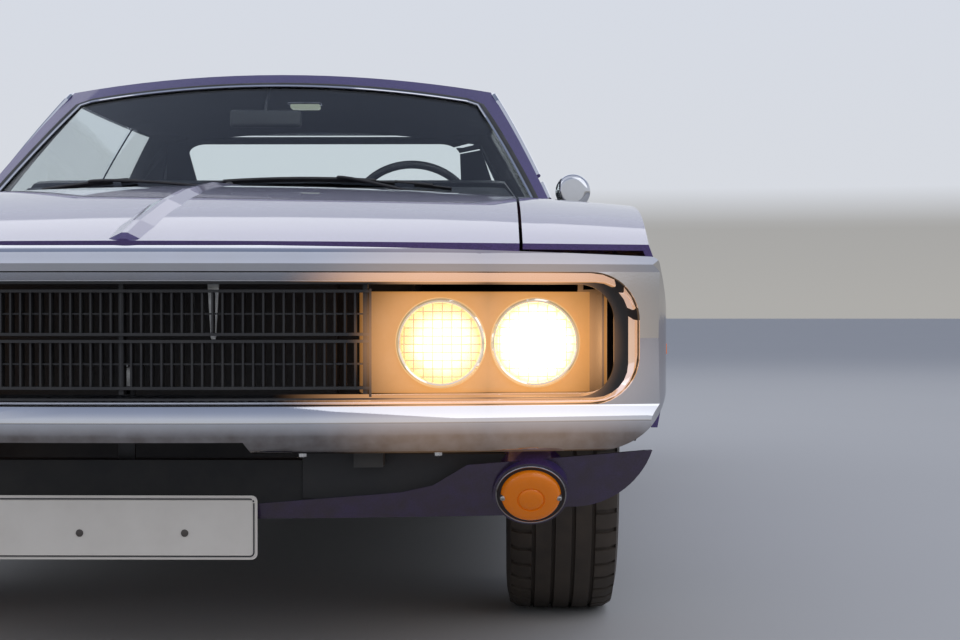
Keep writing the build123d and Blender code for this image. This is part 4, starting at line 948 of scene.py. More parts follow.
def touchSide(nodeName, side, y, z, away=1.4, reach=3.0):
    # where a line that comes straight in from the car's side meets a CAD piece
    return touch(nodeName, (side * away, y, z), (-side, 0, 0), reach)


def bisected(test, start, end, step=0.006):
    # the first value from start towards end where the test begins to hold
    miss, hit = start, start
    while not test(hit) and hit < end:
        miss, hit = hit, hit + step
    for turn in range(14):
        middle = (miss + hit) / 2
        if test(middle):
            hit = middle
        else:
            miss = middle
    return hit


def moulded(path, profile, closed=False):
    # a profile of (sideways, outward) distances carried along (point, outward) pairs
    frames = []
    for place, (point, outward) in enumerate(path):
        before = path[place - 1][0] if place or closed else point
        after = path[(place + 1) % len(path)][0] if closed or place + 1 < len(path) else point
        frames.append((point, outward.cross(after - before).normalized(), outward.normalized()))
    rows = [[point + aside * a + outward * b for point, aside, outward in frames] for a, b in profile]
    piece = skinned(rows + [rows[0]], closed=closed)
    bpy.ops.object.mode_set(mode="EDIT")
    bpy.ops.mesh.select_all(action="SELECT")
    bpy.ops.mesh.remove_doubles(threshold=0.00001)
    if not closed:
        bpy.ops.mesh.fill_holes(sides=0)
    bpy.ops.mesh.select_all(action="SELECT")
    bpy.ops.mesh.normals_make_consistent(inside=False)
    bpy.ops.object.mode_set(mode="OBJECT")
    return piece


def spread(corners, step):
    # points at even steps along straight runs between corners
    points = []
    for start, end in zip(corners, corners[1:]):
        start, end = Vector(start), Vector(end)
        count = max(1, round((end - start).length / step))
        points += [start.lerp(end, place / count) for place in range(count)]
    return points + [Vector(corners[-1])]


# Windshield surround, found where the pillars' and header's front faces begin
glassPlan = {
    "radius": 2.750,
    "foot": (1.640, 0.955),
    "rake": atan2(0.380, 0.560),
    "trim": [(0.0052, -0.0045), (0.0052, 0.0020), (0.0064, 0.0034), (0.0100, 0.0032), (0.0122, 0.0014),
             (0.0125, -0.0005)],
    "seal": [(-0.0160, -0.0038), (-0.0160, -0.0012), (-0.0080, 0.0014), (0.0020, 0.0024), (0.0050, 0.0020),
             (0.0050, -0.0040)],
}
glassInward = Vector((0, sin(glassPlan["rake"]), -cos(glassPlan["rake"])))


def onWindshield(x, along, proud=0.0):
    s = glassPlan
    drop = s["radius"] - sqrt(s["radius"] ** 2 - x * x) - proud
    return Vector((x, placeY(s["foot"][0]) + along * cos(s["rake"]), s["foot"][1] + along * sin(s["rake"]))) \
        + glassInward * drop


def addWindshieldTrim(s):
    def roofThere(x, along):
        return touch("roof", onWindshield(x, along, 0.02), glassInward, 0.03)[0] is not None

    side = [(bisected(lambda x: roofThere(x, 0.03 + 0.028 * step), 0.45, 0.80), 0.03 + 0.028 * step)
            for step in range(19)]
    head = [(x, bisected(lambda along: roofThere(x, along), 0.30, 0.72))
            for x in [side[-1][0] - 0.030 - 0.040 * step for step in range(15)]]
    half = [point for point in side if point[1] < head[0][1] - 0.022] + head
    whole = half + [(-x, along) for x, along in reversed(half) if x > 0.001]
    path = [(onWindshield(x, along), -glassInward + Vector((x / s["radius"], 0, 0))) for x, along in whole]
    settle(moulded(path, s["trim"]), "windshield_surround", "chrome")
    settle(moulded(path, s["seal"]), "windshield_seal", "sealRubber")


addWindshieldTrim(glassPlan)
print("windshield surround made")

# Drip mouldings over the side windows, and bright strips along the doors' belt
sideTrim = {
    "drip": [(1.876, 0.930), (2.2495, 1.2795), (2.272, 1.2865), (2.330, 1.2885), (3.330, 1.2830), (3.372, 1.2760)],
    "dripProfile": [(-0.0060, -0.001), (-0.0070, 0.0060), (-0.0045, 0.0095), (0.0010, 0.0110), (0.0050, 0.0090),
                    (0.0065, 0.0050), (0.0060, -0.001)],
    "belt": [(1.905, 0.905), (3.020, 0.905)],
    "quarterBelt": [(3.058, 0.905), (3.470, 0.905)],
    "beltProfile": [(0.0002, -0.0005), (0.0002, 0.0045), (0.0020, 0.0062), (0.0090, 0.0062), (0.0125, 0.0040),
                    (0.0130, -0.0005)],
}


def addDrip(s, side):
    path = []
    for place, z in spread(s["drip"], 0.035):
        point, normal = touchSide("roof", side, placeY(place), z, 1.3)
        if point is not None:
            path.append((point, normal))
    settle(moulded(path, s["dripProfile"]), "drip_moulding_" + sideNames[side], "chrome")


# Painted ledges outside the quarter windows, between the doors' tops and the rear pillars' feet
ledgeShape = {
    "first": 3.0365,
    "length": 0.4400,
    "low": 0.8698,
    "belt": 0.9050,
    "rise": 0.0515,
    "steps": 30,
    "doorSide": (3.020, 0.8990),  # place, greatest height where the door's side is felt for
    "pillarSide": (3.500, 0.9480),
    "panelHeight": 0.8660,
    "glassFrom": 3.060,
    "glassTo": 3.470,
    "glassGap": 0.0006,
    "round": [(0.0, 0.0040), (0.0012, 0.0012), (0.0045, 0.0), (0.0160, 0.0)],  # below the top, in from the side
    "nudges": [(0, 0), (0.004, 0), (0.010, 0), (0.010, 0.006), (0.025, 0.012), (0.040, 0.030), (-0.010, 0.006)],
}


def kickUp(place):
    # how far the belt line has risen by that place, towards the rear pillar
    s = ledgeShape
    return s["rise"] * min(1.0, max(0.0, (place - s["first"]) / s["length"])) ** 2


def addLedge(s, side):
    sideName = sideNames[side]
    panelName, glassName = "quarter_panel_" + sideName, "quarter_glass_" + sideName

    def skin(nodeName, place, z):
        # how far out a CAD piece's side lies, felt for a little further on where an edge is missed
        for nudge, drop in s["nudges"]:
            point, normal = touchSide(nodeName, side, placeY(place + nudge), z - drop, 1.3)
            if point is not None and point.x * side > 0.6:
                return abs(point.x)

    loops = []
    for step in range(s["steps"]):
        share = step / (s["steps"] - 1)
        place = s["first"] + s["length"] * share
        top = s["belt"] + kickUp(place)

        def blend(z):
            door, pillar = s["doorSide"], s["pillarSide"]
            return (1 - share) * skin("door_" + sideName, door[0], min(z, door[1])) \
                + share * skin(panelName, pillar[0], min(z, pillar[1]))

        offset = skin(panelName, place, s["panelHeight"]) - blend(s["panelHeight"])
        glassPlace = min(max(place, s["glassFrom"]), s["glassTo"])
        inner, innerTop = [skin(glassName, glassPlace, z) + s["glassGap"]
                           for z in (s["belt"] + 0.0020, top + 0.0010)]
        points = [(inner, s["low"]), (inner, 0.9000), (innerTop, top)]
        for z, pull in [(top - drop, pull) for drop, pull in s["round"]] + [(0.8800, 0.0), (s["low"], 0.0)]:
            points.append((blend(z) + offset - 0.0003 - pull, z))
        loops.append([Vector((side * x, placeY(place), z)) for x, z in points])
    settle(skinned(loops, True, True), "quarter_ledge_" + sideName, "plumLacquer", smooth=30)


def addBelt(s, side, corners, glass, name, body):
    path = []
    for place, low in spread(corners, 0.06):
        z = low + (0.0003 + kickUp(place) if glass.startswith("quarter") else 0.0)
        point, normal = touchSide(glass, side, placeY(place), z + 0.002, 1.3)
        if point is not None:
            path.append((Vector((point.x, point.y, z)), Vector((0, 0, 1))))
    settle(moulded(path, [(-side * a, b) for a, b in s["beltProfile"]]), name, "chrome", body)


for side, sideName in sideNames.items():
    addDrip(sideTrim, side)
    addLedge(ledgeShape, side)
    addBelt(sideTrim, side, sideTrim["belt"], "door_glass_" + sideName, "belt_strip_" + sideName,
            "door_" + sideName)
    addBelt(sideTrim, side, sideTrim["quarterBelt"], "quarter_glass_" + sideName, "quarter_belt_strip_" + sideName,
            "car_body")
print("side trim made")

# Wipers parked along the foot of the glass
wiperShape = {
    "pairs": [  # pivot, blade's near end, blade's far end: (x across, distance up the glass)
        ("left", (0.560, 0.004), (0.566, 0.108), (-0.133, 0.051)),
        ("right", (-0.060, 0.006), (-0.300, 0.096), (-0.605, 0.118)),
    ],
    "armRadius": 0.0042,
}


def addWiper(s, name, pivot, near, far):
    up = -glassInward
    path = []
    for step in range(15):
        x, along = near[0] + (far[0] - near[0]) * step / 14, near[1] + (far[1] - near[1]) * step / 14
        path.append((onWindshield(x, along, -0.0038), up))
    rubberPart = moulded(path, [(-0.0008, 0), (-0.0008, 0.0060), (-0.0032, 0.0070), (-0.0032, 0.0095),
                                (0.0032, 0.0095), (0.0032, 0.0070), (0.0008, 0.0060), (0.0008, 0)])
    settle(rubberPart, f"wiper_{name}_rubber", "sealRubber")
    spine = moulded([(point + up * 0.0094, up) for point, up in path[1:-1]],
                    [(-0.0042, 0), (-0.0042, 0.0030), (-0.0015, 0.0052), (0.0015, 0.0052), (0.0042, 0.0030),
                     (0.0042, 0)])
    settle(spine, f"wiper_{name}_blade", "blackSteel")
    middle = path[7][0] + up * 0.0145
    post = onWindshield(*pivot, 0.010)
    arm = tubeAlong([post, post.lerp(middle, 0.35) + up * 0.010, post.lerp(middle, 0.8) + up * 0.010,
                     middle + up * 0.003, middle], s["armRadius"])
    knob = turned([(-0.040, 0.0085), (0.000, 0.0090), (0.004, 0.0125), (0.012, 0.0125), (0.017, 0.0100),
                   (0.019, 0.0)], post, up, 24)
    settle(joined([arm, knob]), f"wiper_{name}_arm", "blackSteel")


for name, pivot, near, far in wiperShape["pairs"]:
    addWiper(wiperShape, name, pivot, near, far)
print("wipers made")

# Mirror inside the windshield, on its stem from the header
insideMirror = {
    "middle": (-0.028, 2.110, 1.197),
    "size": (0.205, 0.024, 0.052),
    "stemTop": 2.190,
}


def addInsideMirror(s):
    x, place, z = s["middle"]
    y = placeY(place)
    case = roundedBlock(s["size"], (x, y, z), 0.010, 4, (radians(-12), 0, radians(4)))
    settle(case, "inside_mirror_case", "blackVinyl", smooth=50)
    glass = roundedBlock((s["size"][0] - 0.012, 0.003, s["size"][2] - 0.012), (x, y + 0.0112, z - 0.0024), 0.001, 2,
                         (radians(-12), 0, radians(4)))
    settle(glass, "inside_mirror_glass", "chrome")
    top, normal = touch("roof", (x, placeY(s["stemTop"]), 1.15), (0, 0, 1))
    stem = tubeAlong([(x, y - 0.004, z + 0.005), (x, y - 0.002, z + 0.045), (x, top.y - 0.012, top.z - 0.030),
                      (x, top.y, top.z + 0.002)], 0.0050)
    foot = turned([(-0.003, 0.0170), (0.002, 0.0170), (0.006, 0.0130), (0.008, 0.006), (0.008, 0.0)], top,
                  (0, 0, -1), 28)
    settle(joined([stem, foot]), "inside_mirror_stem", "blackVinyl")


addInsideMirror(insideMirror)

# Cabin lining: the CAD pieces' own inner faces, lifted off and thickened
liningPlan = {
    "middle": (0.0, 2.75, 0.80),
    "thick": 0.004,
    "pieces": [  # lining, CAD piece, finish, least share of the face's look that aims at the cabin, box it lies in
        ("headliner", "roof", "headliner", 0.22, (-0.80, 0.80, 1.70, 3.45, 0.90, 1.40)),
        ("sail_lining_left", "quarter_panel_left", "headliner", 0.22, (0.50, 0.80, 3.02, 3.92, 0.88, 1.32)),
        ("sail_lining_right", "quarter_panel_right", "headliner", 0.22, (-0.80, -0.50, 3.02, 3.92, 0.88, 1.32)),
        ("side_trim_left", "quarter_panel_left", "blackVinyl", 0.22, (0.50, 0.80, 3.02, 3.56, 0.27, 0.90)),
        ("side_trim_right", "quarter_panel_right", "blackVinyl", 0.22, (-0.80, -0.50, 3.02, 3.56, 0.27, 0.90)),
        ("carpet", "underbody", "carpet", 0.05, (-0.757, 0.757, 1.605, 3.512, 0.266, 0.80)),
    ],
}


def addLining(s, name, nodeName, finish, share, box):
    lining = copied(nodes[nodeName])
    lining.matrix_world = Matrix.Identity(4)
    middle = Vector((s["middle"][0], placeY(s["middle"][1]), s["middle"][2]))
    pickOnly(lining)
    bpy.ops.object.mode_set(mode="EDIT")
    bpy.ops.mesh.select_all(action="SELECT")
    bpy.ops.mesh.remove_doubles(threshold=0.00005)

    def outside(centre, normal):
        place = centre.y + carPlan["length"] / 2
        within = box[0] <= centre.x <= box[1] and box[2] <= place <= box[3] and box[4] <= centre.z <= box[5]
        return not within or normal.dot((middle - centre).normalized()) < share

    chooseFaces(lining, outside)
    bpy.ops.mesh.delete(type="FACE")
    bpy.ops.object.mode_set(mode="OBJECT")
    applyModifier(lining, "SOLIDIFY", thickness=s["thick"], offset=1)
    return settle(lining, name, finish, smooth=40)


for row in liningPlan["pieces"]:
    addLining(liningPlan, *row)
print("cabin lining made")

# Courtesy lamp in the middle of the roof
domeShape = {
    "place": (0.020, 2.700),
    "lens": (0.092, 0.060, 0.016),
    "glow": {"Emission Color": (0.72, 0.80, 0.62, 1), "Emission Strength": 0.30},
}


def addDome(s):
    top, normal = touch("roof", (s["place"][0], placeY(s["place"][1]), 1.10), (0, 0, 1))
    middle = top - Vector((0, 0, 0.010))
    base = roundedBlock((s["lens"][0] + 0.016, s["lens"][1] + 0.016, 0.012), middle + Vector((0, 0, 0.005)), 0.004,
                        3)
    settle(base, "dome_lamp_base", "chrome")
    settle(roundedBlock(s["lens"], middle - Vector((0, 0, 0.006)), 0.006, 4), "dome_lamp_lens", "domeLens")


addDome(domeShape)
domeTree = materials["domeLens"].node_tree
feed(domeTree, domeTree.nodes["Principled BSDF"], domeShape["glow"])

# Boards behind the headlamps, warm grey with a painted warm glow that stands in for the lamps' light
boardShape = {
    "half": 0.2110,
    "low": 0.508,
    "high": 0.688,
    "front": 0.160,
    "back": 0.1922,
    "hole": 0.0795,
    "floor": ((0.424, 0.090, 0.0030), 0.0, 0.1130, 0.5025, 0.001),  # size, along the bay, inward, height, rounding
    "end": ((0.0012, 0.122, 0.180), 0.2120, 0.1290, 0.5960, 0.0004),
}


def addLampBoard(s, side):
    bay = carPlan["bayMiddle"]
    turn = atan2(bay, sqrt(carPlan["noseRadius"] ** 2 - bay ** 2))
    inward, alongBay = Vector((-sin(turn), cos(turn), 0)), Vector((cos(turn), sin(turn), 0))
    base = Vector((bay, placeY(sweptBack(bay)), 0))
    centre = base + Vector((0, 0, (s["low"] + s["high"]) / 2)) + inward * (s["front"] + s["back"]) / 2
    board = roundedBlock((2 * s["half"], s["back"] - s["front"], s["high"] - s["low"]), centre, 0.003, 2,
                         (0, 0, turn))
    for place in carPlan["lampPlaces"]:
        bpy.ops.object.select_all(action="DESELECT")
        middle = (place, placeY(sweptBack(place) + 0.17), carPlan["lampHeight"])
        bpy.ops.mesh.primitive_cylinder_add(vertices=64, radius=s["hole"], depth=0.30, rotation=(pi / 2, 0, 0),
                                            location=middle)
        cutAway(board, bpy.context.object)
    plates = [roundedBlock(size, base + alongBay * along + inward * depth + Vector((0, 0, height)), rounding, 1,
                           (0, 0, turn)) for size, along, depth, height, rounding in (s["floor"], s["end"])]
    for piece, name in ((board, "lamp_board_"), (joined(plates), "lamp_bay_lining_")):
        pickOnly(piece)
        bpy.ops.object.transform_apply(location=True, rotation=True, scale=True)
        if side < 0:
            flipped(piece)
        settle(piece, name + sideNames[side], "bayBronze", smooth=30)


for side in sideNames:
    addLampBoard(boardShape, side)
print("lamp boards made")

# Bolt heads under the bumper, the catch lever behind the grille and the striker's bracket
frontFixings = {
    "bolts": (0.310, 0.540),
    "boltDepth": 0.050,
    "boltHeight": 0.4125,
    "boltProfile": [(-0.002, 0.0100), (0.0012, 0.0100), (0.0014, 0.0072), (0.0064, 0.0072), (0.0078, 0.0050),
                    (0.0078, 0.0)],
    "lever": (0.144, 0.150),
    "leverEnds": [(0.690, 0.0095, 0.0025), (0.640, 0.0065, 0.0022), (0.610, 0.0050, 0.0020), (0.604, 0.0035, 0.0014)],
    "bracket": (-0.014, 0.175, 0.392, 0.560),
    "bracketFoot": 0.505,
    "shield": ((0.36, 0.0042, 0.080), (0.480, 0.1481, 0.365)),
}


def addFrontFixings(s):
    for x in (*s["bolts"], *[-x for x in s["bolts"]]):
        top = Vector((x, placeY(sweptBack(x) + s["boltDepth"]), s["boltHeight"]))
        bolt = turned(s["boltProfile"], top, (0, 0, -1), 6)
        settle(bolt, f"bumper_bolt_{'left' if x > 0 else 'right'}_{round(abs(x) * 1000)}", "boltZinc")
    x, place = s["lever"]
    top, normal = touch("hood", (x, placeY(place), 0.60), (0, 0, 1))
    levels = [(top.z + 0.001, 0.013, 0.0030), (top.z - 0.020, 0.0125, 0.0030)] + s["leverEnds"]
    loops = [[Vector((x + a, placeY(place) + b, z)) for a, b in ((-w, -t), (w, -t), (w, t), (-w, t))]
             for z, w, t in levels]
    lever = skinned(loops, True, True)
    settle(lever, "hood_catch_lever", "boltZinc", "hood", smooth=30, slot="bright_trim")
    x, place, low, high = s["bracket"]
    top, foot = high - s["bracketFoot"], s["bracketFoot"] - low
    bracket = roundedBlock((0.016, 0.006, top), (x, placeY(place), (s["bracketFoot"] + high) / 2), 0.0018, 2)
    hook = roundedBlock((0.016, 0.030, 0.006), (x, placeY(place) - 0.012, high - 0.003), 0.0018, 2)
    settle(joined([bracket, hook]), "hood_striker_bracket", "boltZinc", slot="bright_trim")
    middle = (x, placeY(place) + 0.002, (s["bracketFoot"] + low) / 2 + 0.005)
    settle(roundedBlock((0.030, 0.010, foot + 0.012), middle, 0.0020, 2), "hood_striker_foot", "blackSteel")


def addSplashShield(s, side):
    # black sheet on the rail's front end, closing the gap under the bumper
    size, (x, place, z) = s["shield"]
    shield = roundedBlock(size, (side * x, placeY(place), z), 0.0010, 1)
    settle(shield, "splash_shield_" + sideNames[side], "blackSteel")


addFrontFixings(frontFixings)
for side in sideNames:
    addSplashShield(frontFixings, side)
print("front fixings made")

# Upholstery: padded cushions and backs, blown up by cloth pressure and then sewn into channels
seatPlan = {
    "frames": 20,
    "pressure": 4.0,
    "channelPitch": 0.052,
    "channelDepth": 0.0045,
    "pads": [  # name, middle (x, place, z), size, tilt, voxel, cap on swelling, channelled box half-width, node
        ("front_cushion", (0.383, 2.742, 0.452), (0.478, 0.520, 0.120), 2, 0.009, 0.022, 0.165, "front_seats"),
        ("front_back", (0.383, 3.022, 0.745), (0.478, 0.098, 0.505), -10, 0.009, 0.022, 0.165, "front_seats"),
        ("rear_cushion", (0.0, 3.312, 0.485), (1.090, 0.362, 0.090), 1, 0.011, 0.022, 0.48, "rear_seat"),
        ("rear_back", (0.0, 3.524, 0.700), (1.090, 0.088, 0.350), -17, 0.011, 0.020, 0.48, "rear_seat"),
    ],
}


def swollen(pad, s, voxel, cap):
    # cloth under pressure, each point held within the cap
    applyModifier(pad, "REMESH", mode="VOXEL", voxel_size=voxel)
    before = [vert.co.copy() for vert in pad.data.vertices]
    pickOnly(pad)
    cloth = pad.modifiers.new("cloth", "CLOTH")
    cloth.settings.use_pressure = True
    cloth.settings.uniform_pressure_force = s["pressure"]
    cloth.settings.effector_weights.gravity = 0
    cloth.settings.quality = 5
    cloth.settings.mass = 0.3
    cloth.settings.tension_stiffness = 12
    cloth.settings.compression_stiffness = 12
    cloth.settings.bending_stiffness = 0.4
    cloth.collision_settings.use_collision = False
    for step in range(1, s["frames"] + 1):
        bpy.context.scene.frame_set(step)
    bpy.ops.object.modifier_apply(modifier=cloth.name)
    bpy.context.scene.frame_set(1)
    for vert, start in zip(pad.data.vertices, before):
        move = vert.co - start
        if move.length > cap:
            vert.co = start + move.normalized() * cap


def addPad(s, middle, size, tilt, voxel, cap, channelHalf):
    x, place, z = middle
    centre = Vector((x, placeY(place), z))
    turn = Matrix.Rotation(radians(tilt), 3, "X")
    pad = roundedBlock(size, (0, 0, 0), min(size) * 0.42, 5)
    swollen(pad, s, voxel, cap)
    applyModifier(pad, "SUBSURF", levels=1, render_levels=1)
    upright = size[2] > size[1]
    face = 1 if upright else 2
    half = size[face] / 2
    reach = (size[2] if upright else size[1]) / 2
    for vert in pad.data.vertices:
        co = vert.co
        long = co.z if upright else co.y
        front = -co.y if upright else co.z
        if front <= 0:
            continue
        edge = min(channelHalf - abs(co.x), reach * 0.80 - abs(long))
        groove = 0.0
        if edge > 0:
            soft = min(1.0, edge / 0.020)
            groove = (abs(sin(pi * co.x / s["channelPitch"])) ** 0.55 - 1.0) * s["channelDepth"] * soft
        # the welt round the sewn insert
        groove += -s["channelDepth"] * 1.2 * max(0.0, 1.0 - abs(edge) / 0.007)
        share = min(1.0, max(0.0, front / (half * 0.6)))
        if upright:
            vert.co.y -= groove * share
        else:
            vert.co.z += groove * share
    pad.data.transform(Matrix.Translation(centre) @ turn.to_4x4())
    return pad


def addSeats(s):
    for name, middle, size, tilt, voxel, cap, channelHalf, nodeName in s["pads"]:
        pad = addPad(s, middle, size, tilt, voxel, cap, channelHalf)
        paired = nodeName == "front_seats"
        settle(pad, "seat_" + name + ("_left" if paired else ""), "seatVinyl", smooth=60, standsFor=[nodeName])
        if paired:
            twin = mirrored(pad, "seat_" + name + "_right", "car_body", [nodeName])


addSeats(seatPlan)
print("seats upholstered")

# Seat shells, runners and hinges under the padding
seatFrames = {
    "across": 0.383,
    "base": ((0.400, 0.440, 0.112), 2.740, 0.3285, 0.012, 3, 0),  # size, place, height, rounding, segments, tilt
    "pan": ((0.486, 0.520, 0.050), 2.745, 0.398, 0.016, 3, 0),
    "back": ((0.480, 0.030, 0.500), 3.068, 0.745, 0.012, 4, -10),
    "hinge": ((0.014, 0.090, 0.190), 2.995, 0.475, 0.006, 3, -12),
    "runner": ((0.030, 0.500, 0.012), 2.740, 0.2785, 0.003, 2, 0),
    "hingeAt": 0.246,
    "runnerAt": 0.170,
    "plinth": ((1.110, 0.300, 0.175), 3.300, 0.3605, 0.012, 3, 0),
    "board": ((1.110, 0.020, 0.380), 3.568, 0.690, 0.006, 2, -17),
    "tunnel": ((0.270, 0.60, 0.174), (0, 3.30, 0.345)),
}


def seatBlock(x, size, place, z, rounding, segments, tilt):
    return roundedBlock(size, (x, placeY(place), z), rounding, segments, (radians(tilt), 0, 0))


def addSeatFrames(s):
    for side, sideName in sideNames.items():
        x = side * s["across"]
        parts = [seatBlock(x, *s[part]) for part in ("base", "pan", "back")]
        for edge in (-1, 1):
            parts += [seatBlock(x + edge * s["hingeAt"], *s["hinge"]),
                      seatBlock(x + edge * s["runnerAt"], *s["runner"])]
        settle(joined(parts), "seat_shell_" + sideName, "blackVinyl", standsFor=["front_seats"])
    plinth, board = seatBlock(0, *s["plinth"]), seatBlock(0, *s["board"])
    size, (x, place, z) = s["tunnel"]
    bpy.ops.object.select_all(action="DESELECT")
    bpy.ops.mesh.primitive_cube_add(size=1, location=(x, placeY(place), z))
    tunnel = bpy.context.object
    tunnel.scale = size
    cutAway(plinth, tunnel)
    settle(joined([plinth, board]), "rear_seat_base", "blackVinyl", standsFor=["rear_seat"])


addSeatFrames(seatFrames)
print("seat shells made")

# Door cards with armrest, pull and winder, and outside handles with their locks
doorFittings = {
    "inner": 0.768,
    "card": (1.712, 3.024, 0.330, 0.880),
    "pleats": 26,
    "pleatStep": 0.0415,
    "pleatHeight": 0.755,
    "armrest": (2.420, 0.620),
    "pocket": (2.368, 0.655),
    "sillHeight": 0.889,
    "winder": (2.160, 0.610),
    "lever": (2.640, 0.706),
    "leverStem": (2.600, 0.706),
    "handle": (2.880, 0.800),
    "lock": (2.955, 0.752),
}


def addDoorFittings(s, side):
    sideName = sideNames[side]
    body = "door_" + sideName
    first, last, low, high = s["card"]

    def onDoor(inset, place, z):
        return Vector((side * (s["inner"] - inset), placeY(place), z))

    middle = (first + last) / 2
    pleats = [roundedBlock((0.006, last - first, high - low), onDoor(0.0030, middle, (low + high) / 2), 0.0026, 3)]
    for step in range(s["pleats"]):
        place = first + 0.13 + step * s["pleatStep"]
        pleats.append(roundedBlock((0.010, 0.036, 0.180), onDoor(0.0065, place, s["pleatHeight"]), 0.0044, 3))
    armrest = roundedBlock((0.058, 0.390, 0.052), onDoor(0.034, *s["armrest"]), 0.020, 5)
    pocket = roundedBlock((0.012, 1.180, 0.010), onDoor(0.0085, *s["pocket"]), 0.004, 3)
    sill = roundedBlock((0.030, last - first, 0.024), onDoor(0.0150, middle, s["sillHeight"]), 0.010, 4)
    settle(joined(pleats + [armrest, pocket, sill]), "door_card_" + sideName, "blackVinyl", body, smooth=45)
    hub = onDoor(0.006, *s["winder"])
    winder = turned([(0, 0.0250), (0.004, 0.0250), (0.008, 0.020), (0.012, 0.012), (0.014, 0.0)], hub,
                    (-side, 0, 0), 28)
    arm = roundedBlock((0.008, 0.120, 0.016), hub + Vector((-side * 0.0160, 0.052, 0.012)), 0.0035, 3,
                       (radians(13), 0, 0))
    knob = turned([(0, 0.0), (0, 0.009), (0.004, 0.011), (0.018, 0.012), (0.026, 0.009), (0.028, 0.0)],
                  hub + Vector((-side * 0.0185, 0.104, 0.024)), (-side, 0, 0), 24)
    lever = roundedBlock((0.010, 0.110, 0.014), onDoor(0.022, *s["lever"]), 0.0045, 3)
    stem = turned([(0, 0.012), (0.018, 0.010), (0.020, 0.0)], onDoor(0.006, *s["leverStem"]), (-side, 0, 0), 20)
    settle(joined([winder, arm, knob, lever, stem]), "door_winder_" + sideName, "chrome", body, smooth=40)

    handleHeight = s["handle"][1]
    point, normal = touchSide(body, side, placeY(s["handle"][0]), handleHeight)
    span = [point + Vector((0, step * 0.0125 - 0.100, 0)) for step in range(17)]
    path = []
    for place in span:
        seat, facing = touchSide(body, side, place.y, handleHeight)
        share = (place.y - point.y) / 0.100
        lift = 0.030 * (1 - abs(share) ** 3.2)
        path.append((seat + facing * (lift + 0.004), facing))
    grip = moulded(path, [(-0.0110, -0.004), (-0.0125, 0.0), (-0.0100, 0.0045), (0.0, 0.0065), (0.0100, 0.0045),
                          (0.0125, 0.0), (0.0110, -0.004), (0.0, -0.0052)])
    pads = [grip]
    for end in (0, 16):
        seat, facing = touchSide(body, side, span[end].y, handleHeight)
        pads.append(turned([(-0.002, 0.0170), (0.002, 0.0170), (0.0048, 0.0150), (0.0058, 0.010), (0.0058, 0.0)],
                           seat, facing, 32))
    seat, facing = touchSide(body, side, span[15].y, handleHeight)
    pads.append(turned([(0.0, 0.0085), (0.0300, 0.0085), (0.0335, 0.0070), (0.0345, 0.0)],
                       seat + Vector((0, -0.006, 0)), facing, 28))
    settle(joined(pads), "door_handle_" + sideName, "satinChrome", body, smooth=45)
    seat, facing = touchSide(body, side, placeY(s["lock"][0]), s["lock"][1])
    lock = turned([(-0.002, 0.0135), (0.0016, 0.0135), (0.0036, 0.0120), (0.0042, 0.0096), (0.0030, 0.0090),
                   (0.0030, 0.0022), (0.0018, 0.0018), (0.0018, 0.0)], seat, facing, 32)
    settle(lock, "door_lock_" + sideName, "chrome", body)


for side in sideNames:
    addDoorFittings(doorFittings, side)
print("door fittings made")

# Side markers in the fenders and quarters, fuel cap on the left quarter, and wheel-lip mouldings
bodyFittings = {
    "markers": [("front", "fender", 0.300, 0.585, 0.120, 0.036, "amberLens"),
                ("rear", "quarter_panel", 4.930, 0.600, 0.140, 0.036, "redLens")],
    "fuelCap": (3.760, 0.860),
    "lips": [("front", "fender", 0.955, 0.376), ("rear", "quarter_panel", 3.927, 0.368)],
}


def addMarker(side, end, panel, place, z, length, height, lensFinish):
    sideName = sideNames[side]
    nodeName = f"{panel}_{sideName}"
    seat, facing = touchSide(nodeName, side, placeY(place), z)
    turn = (0, atan2(facing.z, abs(facing.x)) * -side, atan2(facing.y, abs(facing.x)) * side)
    rim = roundedBlock((0.010, length, height), seat - facing * 0.0034, 0.0046, 4, turn)
    settle(rim, f"side_marker_rim_{end}_{sideName}", "chrome")
    lens = [roundedBlock((0.010, length - 0.012, height - 0.012), seat - facing * 0.0026, 0.0042, 4, turn)]
    for step in range(9):
        shift = (step - 4) * (length - 0.030) / 9
        lens.append(roundedBlock((0.004, 0.0045, height - 0.016), seat + facing * 0.0012 + Vector((0, shift, 0)),
                                 0.0018, 2, turn))
    settle(joined(lens), f"side_marker_{end}_{sideName}", lensFinish)


def addFuelCap(s):
    place, inset = s["fuelCap"]
    seat, facing = touch("quarter_panel_left", (inset, placeY(place), 1.4), (0, 0, -1))
    parts = [turned([(-0.004, 0.0620), (0.0030, 0.0620), (0.0070, 0.0590), (0.0085, 0.0540), (0.0085, 0.0500),
                     (0.0125, 0.0480), (0.0150, 0.0430), (0.0155, 0.0300), (0.0135, 0.0280), (0.0135, 0.0)], seat,
                    facing, 64)]
    for step in range(10):
        turn = 2 * pi * step / 10
        aside = facing.orthogonal().normalized()
        across = facing.cross(aside)
        parts.append(turned([(0.0, 0.0042), (0.0022, 0.0042), (0.0034, 0.0028), (0.0036, 0.0)],
                            seat + facing * 0.0078 + (aside * cos(turn) + across * sin(turn)) * 0.0555, facing, 12))
    hinge = roundedBlock((0.030, 0.014, 0.014), seat + facing * 0.009 + Vector((0, -0.060, 0)), 0.004, 3)
    latch = roundedBlock((0.020, 0.024, 0.008), seat + facing * 0.015 + Vector((0, 0.044, 0)), 0.003, 3)
    settle(joined(parts + [hinge, latch]), "fuel_cap", "satinChrome")


